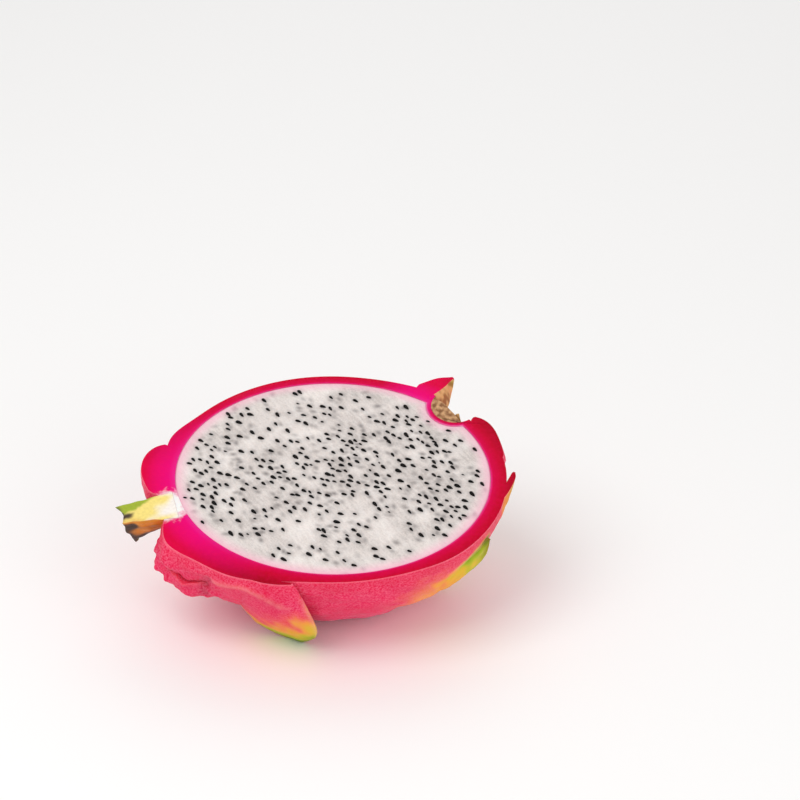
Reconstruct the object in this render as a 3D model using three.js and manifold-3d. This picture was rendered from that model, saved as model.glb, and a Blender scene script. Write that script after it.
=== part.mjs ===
// Half of a dragon fruit resting on its skin, with the cut face turned up and towards the front.
// Millimetres, +Z up. The face frame has its origin in the middle of the cut face: u runs right,
// v runs back along the face, h runs out of the face, and the fruit's body is at negative h.
import * as THREE from 'three';
import { mergeVertices } from 'three/addons/utils/BufferGeometryUtils.js';
import Module from 'manifold-3d';

const wasm = await Module();
wasm.setup();

// Driving dimensions of the fruit's body
const FLESH_LONG = 47.36; // half length of the white flesh in the cut face
const FLESH_SHORT = 40.05; // half width of the white flesh in the cut face
const FLESH_DEPTH = 39.8; // how deep the flesh reaches below the cut face
const FLESH_TURN = -4.85; // degrees that the long axis is turned in the cut face
const PEEL_THICKNESS = 3.1; // skin and rind where nothing swells them
const PIECE_GAP = 0.3; // clearance between neighbouring pieces

// How the half lies on the table
const FACE_TILT = 16; // degrees that the cut face leans to the front
const FACE_HEIGHT = 41.5; // height of the middle of the cut face, which presses a flat spot
const SHIFT_X = 4.487; // these two put the middle of the whole half over the origin
const SHIFT_Y = -2.6;

// Hollow of the dried flower at the end opposite to the stem
const HOLLOW_MIDDLE = new THREE.Vector3(37.0, 30.0, 0);
const HOLLOW_RADIUS = 7.3; // inside of the rind
const HOLLOW_LINING = 1.4; // rind between the hollow and the flesh
const SCAR_LEVEL = 44.6; // distance of the dried flower's rim from the middle of the face
const SCAR_CROWN = 0.6; // how far its middle stands over its rim
const SCAR_RIDGE = 0.7;
const SCAR_RIDGES = 7;
const SCAR_BOTTOM_RINGS = [0.25, 0.5, 0.75, 1]; // shares of the way from its bottom to its rim
const SCAR_TOP_RINGS = [0.8, 0.5, 0.22]; // shares of its radius

// Stub of the cactus stem that the fruit grew on
const STEM_INNER_END = new THREE.Vector3(-46.6, -12.2, 0);
const STEM_OUTER_END = new THREE.Vector3(-63.8, -16.4, 0);
const STEM_HALF_WIDTH = [5.9, 3.6]; // at its inner and its outer end
const STEM_DEPTH = [6.2, 12.6];
const STEM_RIBS = 3;
const STEM_RIB = 0.09; // how far the ribs stand out, as a share of its radius
const STEM_AROUND = 14;
const STEM_STEPS = [0, 0.12, 0.3, 0.5, 0.7, 0.86, 1];
const STEM_TEAR = 0.9; // raggedness of the outer end
const STEM_SLANT = 0.4; // how far the outer end draws back with its depth

// Swellings: direction in the face, degrees below it, height and spread in degrees. The first
// list flattens the flesh with the rind round it, and the second one is of the rind alone.
const FLAT_STRETCHES = [
  { turn: 335, down: 34, height: -1.8, spread: 19 },
  { turn: 347, down: 21, height: -1.6, spread: 12 },
];
const SWELLINGS = [
  { turn: 209, down: 6, height: 5.8, spread: 9.5 },
  { turn: 222, down: 8, height: 5.8, spread: 24 },
  { turn: 320, down: 2, height: 1.6, spread: 16 },
  { turn: 345, down: 2, height: 1.7, spread: 16 },
  { turn: 8, down: 2, height: 1.4, spread: 14 },
  { turn: 58, down: 6, height: 1.0, spread: 14 },
  { turn: 347, down: 22, height: -1.2, spread: 14 },
  { turn: 162, down: 2, height: 2.2, spread: 9 },
];

// Scales of the skin. Root and tip are directions from the middle of the face, as degrees round
// the face and degrees below it. Rise and lift are the heights of the middle and of the tip over
// the skin. Hold keeps the scale thick along its length, and blunt keeps it wide. Twist, where
// a scale has one, turns its tip about its own length in degrees.
const SCALES = [
  { root: [190, 4], tip: [165, 1], rise: 3.9, lift: 0.6, width: 18, thick: 10, hold: 6, blunt: 5 },
  { root: [215, 20], tip: [199, 8], rise: 2.8, lift: 0.6, width: 13, thick: 7.5, hold: 6, blunt: 4 },
  { root: [222, 22], tip: [211, 11], rise: 0.8, lift: 0.8, width: 14, thick: 5.0, hold: 4, blunt: 2.6 },
  { root: [238, 1], tip: [256, 41], rise: 2.6, lift: 7.2, width: 27, thick: 4.8, hold: 1, blunt: 6 },
  {
    root: [313, 23], tip: [335, 5], rise: 0.6, lift: 0.8,
    width: 14, thick: 4.0, hold: 1, blunt: 1.9, twist: -20,
  },
  { root: [333, 11], tip: [2, -1], rise: -2.4, lift: 3.0, width: 13, thick: 4.4, hold: 3, blunt: 1.7 },
  { root: [6, 6], tip: [31, -2], rise: -2.6, lift: 2.4, width: 16, thick: 8.4, hold: 5, blunt: 3 },
  { root: [52, 3], tip: [49.5, 0], rise: 1.6, lift: 9.8, width: 14, thick: 6.0, hold: 1.7, blunt: 2 },
  { root: [36, 31], tip: [39, 5], rise: 2.6, lift: 2.4, width: 13, thick: 4.2, hold: 1, blunt: 1.7 },
  { root: [8, 38], tip: [26, 14], rise: 2.6, lift: 6.4, width: 16, thick: 4.6, hold: 1, blunt: 1.7 },
  {
    root: [72, 34], tip: [56, 15], rise: 2.6, lift: 7.0,
    width: 17, thick: 4.6, hold: 1, blunt: 1.7, twist: 14,
  },
  { root: [112, 22], tip: [80, 17], rise: 2.2, lift: 4.6, width: 19, thick: 4.6, hold: 1, blunt: 1.9 },
  {
    root: [152, 26], tip: [121, 31], rise: 2.4, lift: 5.4,
    width: 21, thick: 4.6, hold: 1, blunt: 1.9, twist: -12,
  },
  { root: [190, 31], tip: [163, 44], rise: 2.4, lift: 5.6, width: 21, thick: 4.6, hold: 1, blunt: 2.2 },
  { root: [213, 49], tip: [236, 66], rise: 2.2, lift: 2.6, width: 20, thick: 4.4, hold: 1, blunt: 2.2 },
  { root: [127, 57], tip: [86, 56], rise: 2.4, lift: 5.4, width: 21, thick: 4.6, hold: 1, blunt: 1.9 },
  { root: [334, 62], tip: [0, 41], rise: 2.0, lift: 3.4, width: 20, thick: 4.6, hold: 1, blunt: 1.9 },
  { root: [52, 67], tip: [42, 38], rise: 2.2, lift: 5.4, width: 20, thick: 4.6, hold: 1, blunt: 1.9 },
];
const SCALE_SINK = 2.0; // depth of a scale's root under the skin
const ARC_BEND = 2.0; // how far the bending point of its arc lies over the arc's middle
const SWELL_HEIGHT = 1.4; // the rind at a scale's root, less where the scale's own root is thick
const SWELL_SPREAD = 0.55; // degrees for each millimetre of the scale's width
const SCALE_MARGIN = 0.7; // thickness of a scale at its edges
const SCALE_CURVE = [20, 46]; // radius of the arch across a scale, at its root and at its tip
const SCALE_RIPPLE = { height: 0.5, along: 9, across: 2 }; // waves of the edges
const SCALE_ROOT = { thickness: 0.35, width: 0.8, length: 0.3 }; // shares that its root starts with
const SCALE_TIP_WIDTH = 0.7;
const SCALE_STEPS = [0, 0.1, 0.22, 0.36, 0.5, 0.64, 0.78, 0.9, 1];
const SCALE_ACROSS = [-1, -0.55, 0, 0.55, 1];

// Black seeds, which stand a little out of the cut face
const SEED_COUNT = 240;
const SEED_LENGTH = 2.3;
const SEED_WIDTH = 1.35;
const SEED_HEIGHT = 0.28;
const SEED_ROOT = 0.5;
const SEED_SPACING = 2.4;
const SEED_MARGIN = 3.4; // flesh without seeds next to the rind
const SEED_TURN = -38; // usual direction of a seed, in degrees
const SEED_SPREAD = 70; // whole range of directions round it
const SEED_CLUSTERS = [
  { u: 1, v: 6, reach: 13 },
  { u: 24, v: 17, reach: 10 },
  { u: 36, v: -11, reach: 9 },
  { u: -38, v: -3, reach: 8 },
];
const SEED_BARE_PATCH = { u: 17, v: -26, reach: 10 };
const SEED_OUTLINE = [[0.5, 0], [0.12, 0.5], [-0.38, 0.36], [-0.38, -0.36], [0.12, -0.5]];
const SEED_TOP = { share: 0.62, height: 0.7 }; // its flat top, as shares of its outline and height
const DRAW_START = 20817;
const DRAW_FACTOR = 16807;
const DRAW_MODULUS = 2147483647;

// Fineness of the round pieces
const BODY_AROUND = 66;
const BODY_DOWN = 13;
const FLESH_AROUND = 56;
const FLESH_DOWN = 10;
const BALL_AROUND = 24;
const ABOVE_FACE = -6; // degrees over the cut face where the uncut surfaces start
const BLOCK = 300; // side of the blocks that cut

const radians = THREE.MathUtils.degToRad;
const lerp = THREE.MathUtils.lerp;

// Unit vector at a turn round the face and an angle below it
function direction(turn, down) {
  const flat = Math.cos(radians(down));
  return new THREE.Vector3(
    flat * Math.cos(radians(turn)),
    flat * Math.sin(radians(turn)),
    -Math.sin(radians(down)),
  );
}

// Distance from the middle of the face to the surface of the flesh grown by a margin
function fleshRadius(way, grow) {
  const turn = radians(FLESH_TURN);
  const along = way.x * Math.cos(turn) + way.y * Math.sin(turn);
  const across = way.y * Math.cos(turn) - way.x * Math.sin(turn);
  const shares = [along / (FLESH_LONG + grow), across / (FLESH_SHORT + grow), way.z / (FLESH_DEPTH + grow)];
  const even = 1 / Math.hypot(...shares);
  return FLAT_STRETCHES.reduce((radius, stretch) => radius + swelling(way, stretch), even);
}

// Bell-shaped rise of the skin round one direction
function swelling(way, { turn, down, height, spread }) {
  const apart = THREE.MathUtils.radToDeg(way.angleTo(direction(turn, down)));
  return height * Math.exp(-((apart / spread) ** 2));
}

// Distance from the middle of the face to the skin
function skinRadius(way) {
  const even = fleshRadius(way, 0) + PEEL_THICKNESS;
  let radius = SWELLINGS.reduce((sum, bulge) => sum + swelling(way, bulge), even);
  for (const scale of SCALES) {
    const [turn, down] = scale.root;
    const height = SWELL_HEIGHT / scale.hold;
    radius += swelling(way, { turn, down, height, spread: SWELL_SPREAD * scale.width });
  }
  return radius;
}

// Manifold solid of a point list and a flat list of triangle corners, turned to face outwards
function solidFrom(points, corners) {
  let volume = 0;
  const normal = new THREE.Vector3();
  for (let k = 0; k < corners.length; k += 3) {
    normal.crossVectors(points[corners[k + 1]], points[corners[k + 2]]);
    volume += points[corners[k]].dot(normal);
  }
  const triVerts = Uint32Array.from(corners);
  if (volume < 0) {
    triVerts.reverse();
  }
  const vertProperties = Float32Array.from(points.flatMap((p) => p.toArray()));
  return new wasm.Manifold(new wasm.Mesh({ numProp: 3, vertProperties, triVerts }));
}

// Closed surface through rings of equal length, with both ends closed by a fan to a point
function loft(rings, startPoint, endPoint) {
  const count = rings[0].length;
  const points = [...rings.flat(), startPoint, endPoint];
  const lastRing = (rings.length - 1) * count;
  const corners = [];
  for (let k = 0; k < count; k++) {
    const next = (k + 1) % count;
    for (let first = 0; first < lastRing; first += count) {
      corners.push(first + k, first + count + k, first + next);
      corners.push(first + next, first + count + k, first + count + next);
    }
    corners.push(points.length - 2, k, next);
    corners.push(points.length - 1, lastRing + next, lastRing + k);
  }
  return solidFrom(points, corners);
}

// Solid of a closed three.js geometry
function solidOf(geometry) {
  geometry.deleteAttribute('normal');
  geometry.deleteAttribute('uv');
  const merged = mergeVertices(geometry);
  const vertProperties = merged.attributes.position.array;
  const triVerts = Uint32Array.from(merged.index.array);
  return new wasm.Manifold(new wasm.Mesh({ numProp: 3, vertProperties, triVerts }));
}

// Solid between the middle of the face and a radius rule, running on above the cut face
function roundSolid(radiusOf, around, downSteps) {
  const rings = [];
  for (let step = 0; step < downSteps; step++) {
    const down = lerp(ABOVE_FACE, 90, step / downSteps);
    const ring = [];
    for (let k = 0; k < around; k++) {
      const way = direction((360 * k) / around, down);
      ring.push(way.multiplyScalar(radiusOf(way)));
    }
    rings.push(ring);
  }
  const pole = direction(0, 90);
  const top = new THREE.Vector3(0, 0, rings[0][0].z);
  return loft(rings, top, pole.multiplyScalar(radiusOf(pole)));
}

function fleshSolid(grow) {
  const body = roundSolid((way) => fleshRadius(way, grow), FLESH_AROUND, FLESH_DOWN);
  const dentRadius = HOLLOW_RADIUS + PIECE_GAP + HOLLOW_LINING - grow;
  return body.subtract(ballSolid(HOLLOW_MIDDLE, dentRadius));
}

function ballSolid(middle, radius) {
  const ball = new THREE.SphereGeometry(radius, BALL_AROUND, (2 * BALL_AROUND) / 3);
  ball.rotateX(Math.PI / 2);
  return solidOf(ball.translate(middle.x, middle.y, middle.z));
}

// Point over the skin in one direction
function overSkin(way, height) {
  return way.clone().multiplyScalar(skinRadius(way) + height);
}

// One ring of points across a scale, upper side first and then the lower side back
function scaleRing(scale, share, middle, normal, side) {
  const fill = Math.min(1, SCALE_ROOT.thickness + share / SCALE_ROOT.length);
  const spread = lerp(SCALE_ROOT.width, 1, fill) * (1 - share ** scale.blunt);
  const halfWidth = (SCALE_TIP_WIDTH + scale.width * spread) / 2;
  const core = (scale.thick - SCALE_MARGIN) * (1 - share ** scale.hold) * fill;
  const upper = [];
  const lower = [];
  for (const across of SCALE_ACROSS) {
    const reach = halfWidth * across;
    const phase = SCALE_RIPPLE.along * share + SCALE_RIPPLE.across * across;
    const wave = SCALE_RIPPLE.height * share * across * Math.sin(phase);
    const droop = reach ** 2 / (2 * lerp(...SCALE_CURVE, share));
    const half = (SCALE_MARGIN + core * (1 - across ** 2)) / 2;
    const spine = middle.clone().addScaledVector(side, reach).addScaledVector(normal, wave - droop);
    upper.push(spine.clone().addScaledVector(normal, half));
    lower.push(spine.clone().addScaledVector(normal, -half));
  }
  return [...upper, ...lower.reverse()];
}

// Pointed scale that grows out of the skin along an arc over the body
function scaleSolid(scale) {
  const { twist = 0 } = scale;
  const rootWay = direction(...scale.root);
  const tipWay = direction(...scale.tip);
  const middleWay = rootWay.clone().add(tipWay).normalize();
  const rootPoint = overSkin(rootWay, -SCALE_SINK);
  const tipPoint = overSkin(tipWay, scale.lift);
  const bend = overSkin(middleWay, scale.rise + ARC_BEND);
  const arc = new THREE.QuadraticBezierCurve3(rootPoint, bend, tipPoint);
  const side = rootWay.clone().cross(tipWay).normalize();
  const rings = SCALE_STEPS.map((share) => {
    const tangent = arc.getTangent(share);
    const turnedSide = side.clone().applyAxisAngle(tangent, radians(twist * share));
    const normal = tangent.clone().cross(turnedSide);
    return scaleRing(scale, share, arc.getPoint(share), normal, turnedSide);
  });
  return loft(rings, rootPoint, tipPoint);
}

// Ribbed stub of the stem, from inside the rind to its torn end
function stemSolid(grow) {
  const along = STEM_OUTER_END.clone().sub(STEM_INNER_END).normalize();
  const side = new THREE.Vector3(-along.y, along.x, 0);
  const inner = STEM_INNER_END.clone().addScaledVector(along, -grow);
  const outer = STEM_OUTER_END.clone().addScaledVector(along, grow);
  const rings = [];
  for (const share of STEM_STEPS) {
    const halfWidth = lerp(STEM_HALF_WIDTH[0], STEM_HALF_WIDTH[1], share) + grow;
    const depth = lerp(STEM_DEPTH[0], STEM_DEPTH[1], share) + grow;
    const ring = [];
    for (let k = 0; k < STEM_AROUND; k++) {
      const turn = (2 * Math.PI * (k + 0.5)) / STEM_AROUND;
      const rib = 1 - STEM_RIB + STEM_RIB * Math.cos(STEM_RIBS * (turn - Math.PI / 2));
      const reach = halfWidth * rib * Math.cos(turn);
      const drop = depth * rib * Math.sin(turn);
      const tear = share === 1 && k % 2 ? STEM_TEAR : 0;
      const point = inner.clone().lerp(outer, share).addScaledVector(side, reach);
      point.addScaledVector(along, -tear - STEM_SLANT * share ** 4 * Math.max(0, drop));
      point.z -= drop;
      ring.push(point);
    }
    rings.push(ring);
  }
  return loft(rings, inner, outer);
}

// Dried base of the flower, a ridged plug in the bottom of its hollow
function scarSolid(grow) {
  const along = HOLLOW_MIDDLE.clone().normalize();
  const side = new THREE.Vector3(-along.y, along.x, 0);
  const radius = HOLLOW_RADIUS - PIECE_GAP + grow;
  const toMiddle = HOLLOW_MIDDLE.length();
  const rimAngle = Math.acos((toMiddle - SCAR_LEVEL) / radius);
  const around = 4 * SCAR_RIDGES;
  const rings = [];
  const addRing = (reach, level, ridge) => {
    const ring = [];
    for (let k = 0; k < around; k++) {
      const turn = (2 * Math.PI * (k + 0.5)) / around;
      const height = level + grow + ridge * Math.cos(SCAR_RIDGES * turn);
      const point = along.clone().multiplyScalar(height).addScaledVector(side, reach * Math.cos(turn));
      point.z += reach * Math.sin(turn);
      ring.push(point);
    }
    rings.push(ring);
  };
  for (const share of SCAR_BOTTOM_RINGS) {
    const angle = rimAngle * share;
    addRing(radius * Math.sin(angle), toMiddle - grow - radius * Math.cos(angle), 0);
  }
  for (const share of SCAR_TOP_RINGS) {
    const level = SCAR_LEVEL + SCAR_CROWN * (1 - 2 * share ** 4);
    addRing(radius * Math.sin(rimAngle) * share, level, SCAR_RIDGE * share);
  }
  const bottom = along.clone().multiplyScalar(toMiddle - radius);
  const top = along.clone().multiplyScalar(SCAR_LEVEL + SCAR_CROWN + grow);
  return loft(rings, bottom, top);
}

let drawState = DRAW_START;

// Next number between 0 and 1 of a fixed random series
function draw() {
  drawState = (drawState * DRAW_FACTOR) % DRAW_MODULUS;
  return drawState / DRAW_MODULUS;
}

// Bell-shaped share between 0 and 1 that falls off round a spot of the cut face
function nearness(u, v, spot) {
  return Math.exp(-((u - spot.u) ** 2 + (v - spot.v) ** 2) / spot.reach ** 2);
}

// How likely a seed is to be kept at a place of the cut face
function seedChance(u, v) {
  const crowding = Math.max(...SEED_CLUSTERS.map((spot) => nearness(u, v, spot)));
  return (0.35 + 0.65 * crowding) * (1 - 0.7 * nearness(u, v, SEED_BARE_PATCH));
}

// Places of the seeds: drawn at random, kept by chance, and never closer than their spacing
function seedPlaces() {
  const places = [];
  while (places.length < SEED_COUNT) {
    const u = FLESH_LONG * (2 * draw() - 1);
    const v = FLESH_SHORT * (2 * draw() - 1);
    const chance = draw();
    const turn = radians(SEED_TURN + SEED_SPREAD * (draw() - 0.5));
    const way = new THREE.Vector3(u, v, 0);
    const reach = way.length();
    const fromHollow = way.distanceTo(HOLLOW_MIDDLE);
    const inFlesh = reach < fleshRadius(way.normalize(), 0) - SEED_MARGIN;
    const offHollow = fromHollow > HOLLOW_RADIUS + HOLLOW_LINING + SEED_MARGIN;
    const clear = places.every((other) => Math.hypot(other.u - u, other.v - v) > SEED_SPACING);
    if (inFlesh && offHollow && clear && chance < seedChance(u, v)) {
      places.push({ u, v, turn });
    }
  }
  return places;
}

// One pointed seed with a small flat top
function seedSolid({ u, v, turn }) {
  const ringAt = (share, height) => SEED_OUTLINE.map(([along, across]) => {
    const x = along * SEED_LENGTH * share;
    const y = across * SEED_WIDTH * share;
    const pointU = u + x * Math.cos(turn) - y * Math.sin(turn);
    const pointV = v + x * Math.sin(turn) + y * Math.cos(turn);
    return new THREE.Vector3(pointU, pointV, height);
  });
  const lowPoint = new THREE.Vector3(u, v, -SEED_ROOT);
  const highPoint = new THREE.Vector3(u, v, SEED_HEIGHT);
  const topRing = ringAt(SEED_TOP.share, SEED_HEIGHT * SEED_TOP.height);
  return loft([ringAt(1, -SEED_ROOT), topRing], lowPoint, highPoint);
}

const fruit = new THREE.Group();
fruit.name = 'dragon_fruit_half';
fruit.rotation.x = radians(FACE_TILT);
fruit.position.set(SHIFT_X, SHIFT_Y, FACE_HEIGHT);
fruit.updateMatrix();

const tableBlock = new THREE.BoxGeometry(BLOCK, BLOCK, BLOCK).translate(0, 0, -BLOCK / 2);
const belowTable = solidOf(tableBlock.applyMatrix4(fruit.matrix.clone().invert()));
const aboveFace = solidOf(new THREE.BoxGeometry(BLOCK, BLOCK, BLOCK).translate(0, 0, BLOCK / 2));

function peelSolid() {
  const hollow = ballSolid(HOLLOW_MIDDLE, HOLLOW_RADIUS);
  const body = roundSolid(skinRadius, BODY_AROUND, BODY_DOWN).subtract(hollow);
  const scaled = SCALES.reduce((whole, scale) => whole.add(scaleSolid(scale)), body);
  const cut = scaled.subtract(aboveFace).subtract(belowTable);
  return cut.subtract(fleshSolid(PIECE_GAP)).subtract(stemSolid(PIECE_GAP)).subtract(scarSolid(PIECE_GAP));
}

function fleshPiece() {
  const seeds = wasm.Manifold.union(seedPlaces().map(seedSolid));
  return fleshSolid(0).subtract(aboveFace).add(seeds);
}

function addPiece(name, solid, colour, roughness) {
  const { vertProperties, triVerts } = solid.getMesh();
  const geometry = new THREE.BufferGeometry();
  geometry.setAttribute('position', new THREE.BufferAttribute(vertProperties, 3));
  geometry.setIndex(new THREE.BufferAttribute(triVerts, 1));
  geometry.computeVertexNormals();
  const material = new THREE.MeshStandardMaterial({ color: colour, roughness, metalness: 0 });
  const mesh = new THREE.Mesh(geometry, material);
  mesh.name = name;
  fruit.add(mesh);
}

addPiece('peel', peelSolid(), '#e2365f', 0.55);
addPiece('flesh', fleshPiece(), '#ede4de', 0.35);
addPiece('stalk', stemSolid(0).subtract(aboveFace), '#b6b22a', 0.6);
addPiece('flower_scar', scarSolid(0).subtract(aboveFace), '#bb8452', 0.8);

export default fruit;
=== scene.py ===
import logging
from collections.abc import Callable
from dataclasses import dataclass, field
from enum import Enum
from math import radians

import bmesh
import bpy
import numpy as np
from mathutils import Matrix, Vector


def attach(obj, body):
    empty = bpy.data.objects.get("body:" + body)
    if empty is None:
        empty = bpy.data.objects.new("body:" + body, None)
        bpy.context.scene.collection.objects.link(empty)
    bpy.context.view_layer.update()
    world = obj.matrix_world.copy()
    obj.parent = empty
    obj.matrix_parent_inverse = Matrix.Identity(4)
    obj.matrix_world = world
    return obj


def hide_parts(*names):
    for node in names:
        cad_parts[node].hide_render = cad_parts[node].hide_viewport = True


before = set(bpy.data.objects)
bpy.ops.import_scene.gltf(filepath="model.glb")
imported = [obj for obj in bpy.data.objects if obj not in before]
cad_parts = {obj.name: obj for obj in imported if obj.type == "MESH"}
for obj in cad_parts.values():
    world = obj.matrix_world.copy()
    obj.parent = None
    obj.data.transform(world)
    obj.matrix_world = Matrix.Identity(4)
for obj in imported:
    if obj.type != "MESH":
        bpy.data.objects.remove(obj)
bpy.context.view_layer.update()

LOG = logging.getLogger("dragon_fruit")
MM = 0.001

Array = np.ndarray
Material = bpy.types.Material
Mesh = bpy.types.Mesh
Piece = bpy.types.Object
Socket = bpy.types.NodeSocket
Value = float | tuple[float, ...] | Socket
Point = tuple[float, float, float]
Bearing = tuple[float, float]
Spot = tuple[float, float]

# The face frame has its origin in the middle of the cut face: u runs right, v back along the
# face and h out of it, in millimetres, with the fruit's body at negative h.
FACE_TILT = radians(16)
FACE_PLACE = np.array([4.487, -2.6, 41.5])

# The half ball that the dried flower sat in, the rind round it, and the gap between the solids.
HOLLOW_MIDDLE = np.array([37.0, 30.0, 0.0])
HOLLOW_RADIUS = 7.3
HOLLOW_LINING = 1.4
SOLID_GAP = 0.3

# How far a cutting shape is larger than what fits the hole, and how far the cutting blocks reach.
CUT_PLAY = 0.02
SOCKET_PLAY = 0.05
BLOCK_REACH = 150.0
BLOCK_DEPTH = 100.0

# A fold in a surface that is sharper than this is drawn as a hard edge.
SHARP_ANGLE = radians(38)


class Surface(Enum):
    """Which finish a face of the peel has."""

    SKIN = 0
    CUT = 1


class Change(Enum):
    """What a tool shape does to the piece that it meets."""

    JOIN = "UNION"
    CUT = "DIFFERENCE"


@dataclass(frozen=True)
class Swelling:
    """Bell-shaped rise round one direction: degrees round the face and below it, mm, degrees."""

    turn: float
    down: float
    height: float
    spread: float


@dataclass(frozen=True)
class Scale:
    """One scale of the skin, as in the part's source.

    Root and tip are directions in degrees round the face and below it. Rise and lift are the
    heights of the middle and the tip over the skin. Hold keeps it thick, blunt keeps it wide and
    twist turns its tip about its length, in degrees. Ripe is how far its pink reaches towards the
    tip, and dry browns the tip.
    """

    root: Bearing
    tip: Bearing
    rise: float
    lift: float
    width: float
    thick: float
    hold: float
    blunt: float
    twist: float = 0
    ripe: float = 0.3
    dry: float = 0.2


FLAT_STRETCHES = (Swelling(335, 34, -1.8, 19), Swelling(347, 21, -1.6, 12))
SWELLINGS = (
    Swelling(209, 6, 5.8, 9.5),
    Swelling(222, 8, 5.8, 24),
    Swelling(320, 2, 1.6, 16),
    Swelling(345, 2, 1.7, 16),
    Swelling(8, 2, 1.4, 14),
    Swelling(58, 6, 1.0, 14),
    Swelling(347, 22, -1.2, 14),
    Swelling(162, 2, 2.2, 9),
)
SCALES = (
    Scale((190, 4), (165, 1), 3.9, 0.6, 18, 10, 6, 5, ripe=2.0, dry=0),
    Scale((215, 20), (199, 8), 2.8, 0.6, 13, 7.5, 6, 4, ripe=2.0, dry=0),
    Scale((222, 22), (211, 11), 0.8, 0.8, 14, 5.0, 4, 2.6, ripe=2.0, dry=0),
    Scale((238, 1), (256, 41), 2.6, 7.2, 27, 4.8, 1, 6, ripe=0.45),
    Scale((313, 23), (335, 5), 0.6, 0.8, 14, 4.0, 1, 1.9, twist=-20, ripe=-0.7, dry=0.5),
    Scale((333, 11), (2, -1), -2.4, 3.0, 13, 4.4, 3, 1.7, ripe=0.3),
    Scale((6, 6), (31, -2), -2.6, 2.4, 16, 8.4, 5, 3, ripe=0.9),
    Scale((52, 3), (49.5, 0), 1.6, 9.8, 14, 6.0, 1.7, 2, ripe=0.8),
    Scale((36, 31), (39, 5), 2.6, 2.4, 13, 4.2, 1, 1.7, ripe=-0.1, dry=0.7),
    Scale((8, 38), (26, 14), 2.6, 6.4, 16, 4.6, 1, 1.7, ripe=0.2),
    Scale((72, 34), (56, 15), 2.6, 7.0, 17, 4.6, 1, 1.7, twist=14, ripe=0.2),
    Scale((112, 22), (80, 17), 2.2, 4.6, 19, 4.6, 1, 1.9, ripe=0.35),
    Scale((152, 26), (121, 31), 2.4, 5.4, 21, 4.6, 1, 1.9, twist=-12, ripe=0.5),
    Scale((190, 31), (163, 44), 2.4, 5.6, 21, 4.6, 1, 2.2, ripe=0.6),
    Scale((213, 49), (236, 66), 2.2, 2.6, 20, 4.4, 1, 2.2, ripe=0.6),
    Scale((127, 57), (86, 56), 2.4, 5.4, 21, 4.6, 1, 1.9, ripe=0.4),
    Scale((334, 62), (0, 41), 2.0, 3.4, 20, 4.6, 1, 1.9, ripe=0.3),
    Scale((52, 67), (42, 38), 2.2, 5.4, 20, 4.6, 1, 1.9, ripe=0.3),
)


def linear(colour: str) -> tuple[float, float, float, float]:
    """Linear red, green, blue and an alpha of one of an sRGB hex colour."""
    values = [int(colour[k:k + 2], 16) / 255 for k in (1, 3, 5)]
    return (*[v / 12.92 if v <= 0.04045 else ((v + 0.055) / 1.055) ** 2.4 for v in values], 1.0)


def rgb(colour: str) -> Array:
    """Linear red, green and blue of an sRGB hex colour."""
    return np.array(linear(colour)[:3])


def mix(low: Array, high: Array, share: Array) -> Array:
    """Values from low to high by a share between 0 and 1, for numbers or rows of colours."""
    return low + (high - low) * share


def smooth_step(low: float, high: float, value: Array) -> Array:
    """Share that eases from 0 at low to 1 at high: 3t² − 2t³ of the clipped way between them."""
    t = np.clip((value - low) / (high - low), 0, 1)
    return t * t * (3 - 2 * t)


def direction(turn: Array | float, down: Array | float) -> Array:
    """Unit vectors at a turn round the face and an angle below it.

    Args:
        turn: Degrees round the face.
        down: Degrees below the face.

    Returns:
        (cos down cos turn, cos down sin turn, −sin down), with the coordinates on the last axis.
    """
    turn, down = np.broadcast_arrays(np.radians(turn), np.radians(down))
    flat = np.cos(down)
    return np.stack([flat * np.cos(turn), flat * np.sin(turn), -np.sin(down)], axis=-1)


def unit(vectors: Array) -> Array:
    """Vectors of length one, along the last axis."""
    return vectors / np.linalg.norm(vectors, axis=-1, keepdims=True)


def to_world(points: Array) -> Array:
    """Face-frame points turned by the tilt about X and moved to their place.

    Args:
        points: Rows of u, v and h in millimetres.

    Returns:
        Rows of x = u, y = v cos − h sin and z = v sin + h cos, plus the place, in metres.
    """
    u, v, h = points[..., 0], points[..., 1], points[..., 2]
    cos, sin = np.cos(FACE_TILT), np.sin(FACE_TILT)
    turned = np.stack([u, v * cos - h * sin, v * sin + h * cos], axis=-1)
    return (turned + FACE_PLACE) * MM


def to_face(points: Array) -> Array:
    """World points back in the face frame.

    Args:
        points: Rows of x, y and z in metres.

    Returns:
        Rows of u = x, v = y cos + z sin and h = z cos − y sin from the place, in millimetres.
    """
    x, y, z = np.moveaxis(points / MM - FACE_PLACE, -1, 0)
    cos, sin = np.cos(FACE_TILT), np.sin(FACE_TILT)
    return np.stack([x, y * cos + z * sin, z * cos - y * sin], axis=-1)


def waves(points: Array, length: float, seed: int, count: int = 12) -> Array:
    """Smooth lumps: the sum of plane sine waves in random directions × √(2 / count).

    Args:
        points: Places in millimetres.
        length: Middle wave length in millimetres.
        seed: Seed of the directions, lengths and phases.
        count: Number of waves.

    Returns:
        Heights mostly between -1 and 1, one for each point.
    """
    rng = np.random.default_rng(seed)
    ways = unit(rng.normal(size=(count, 3)))
    steps = 2 * np.pi / (length * rng.uniform(0.6, 1.7, count))
    phases = rng.uniform(0, 2 * np.pi, count)
    total = np.zeros(points.shape[:-1])
    for way, step, phase in zip(ways, steps, phases):
        total += np.sin(step * (points @ way) + phase)
    return total * np.sqrt(2 / count)


def swelling(ways: Array, bulge: Swelling) -> Array:
    """Height times exp(−(angle / spread)²) of the angle between each way and the swelling."""
    dot = np.clip(ways @ direction(bulge.turn, bulge.down), -1, 1)
    return bulge.height * np.exp(-((np.degrees(np.arccos(dot)) / bulge.spread) ** 2))


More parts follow.
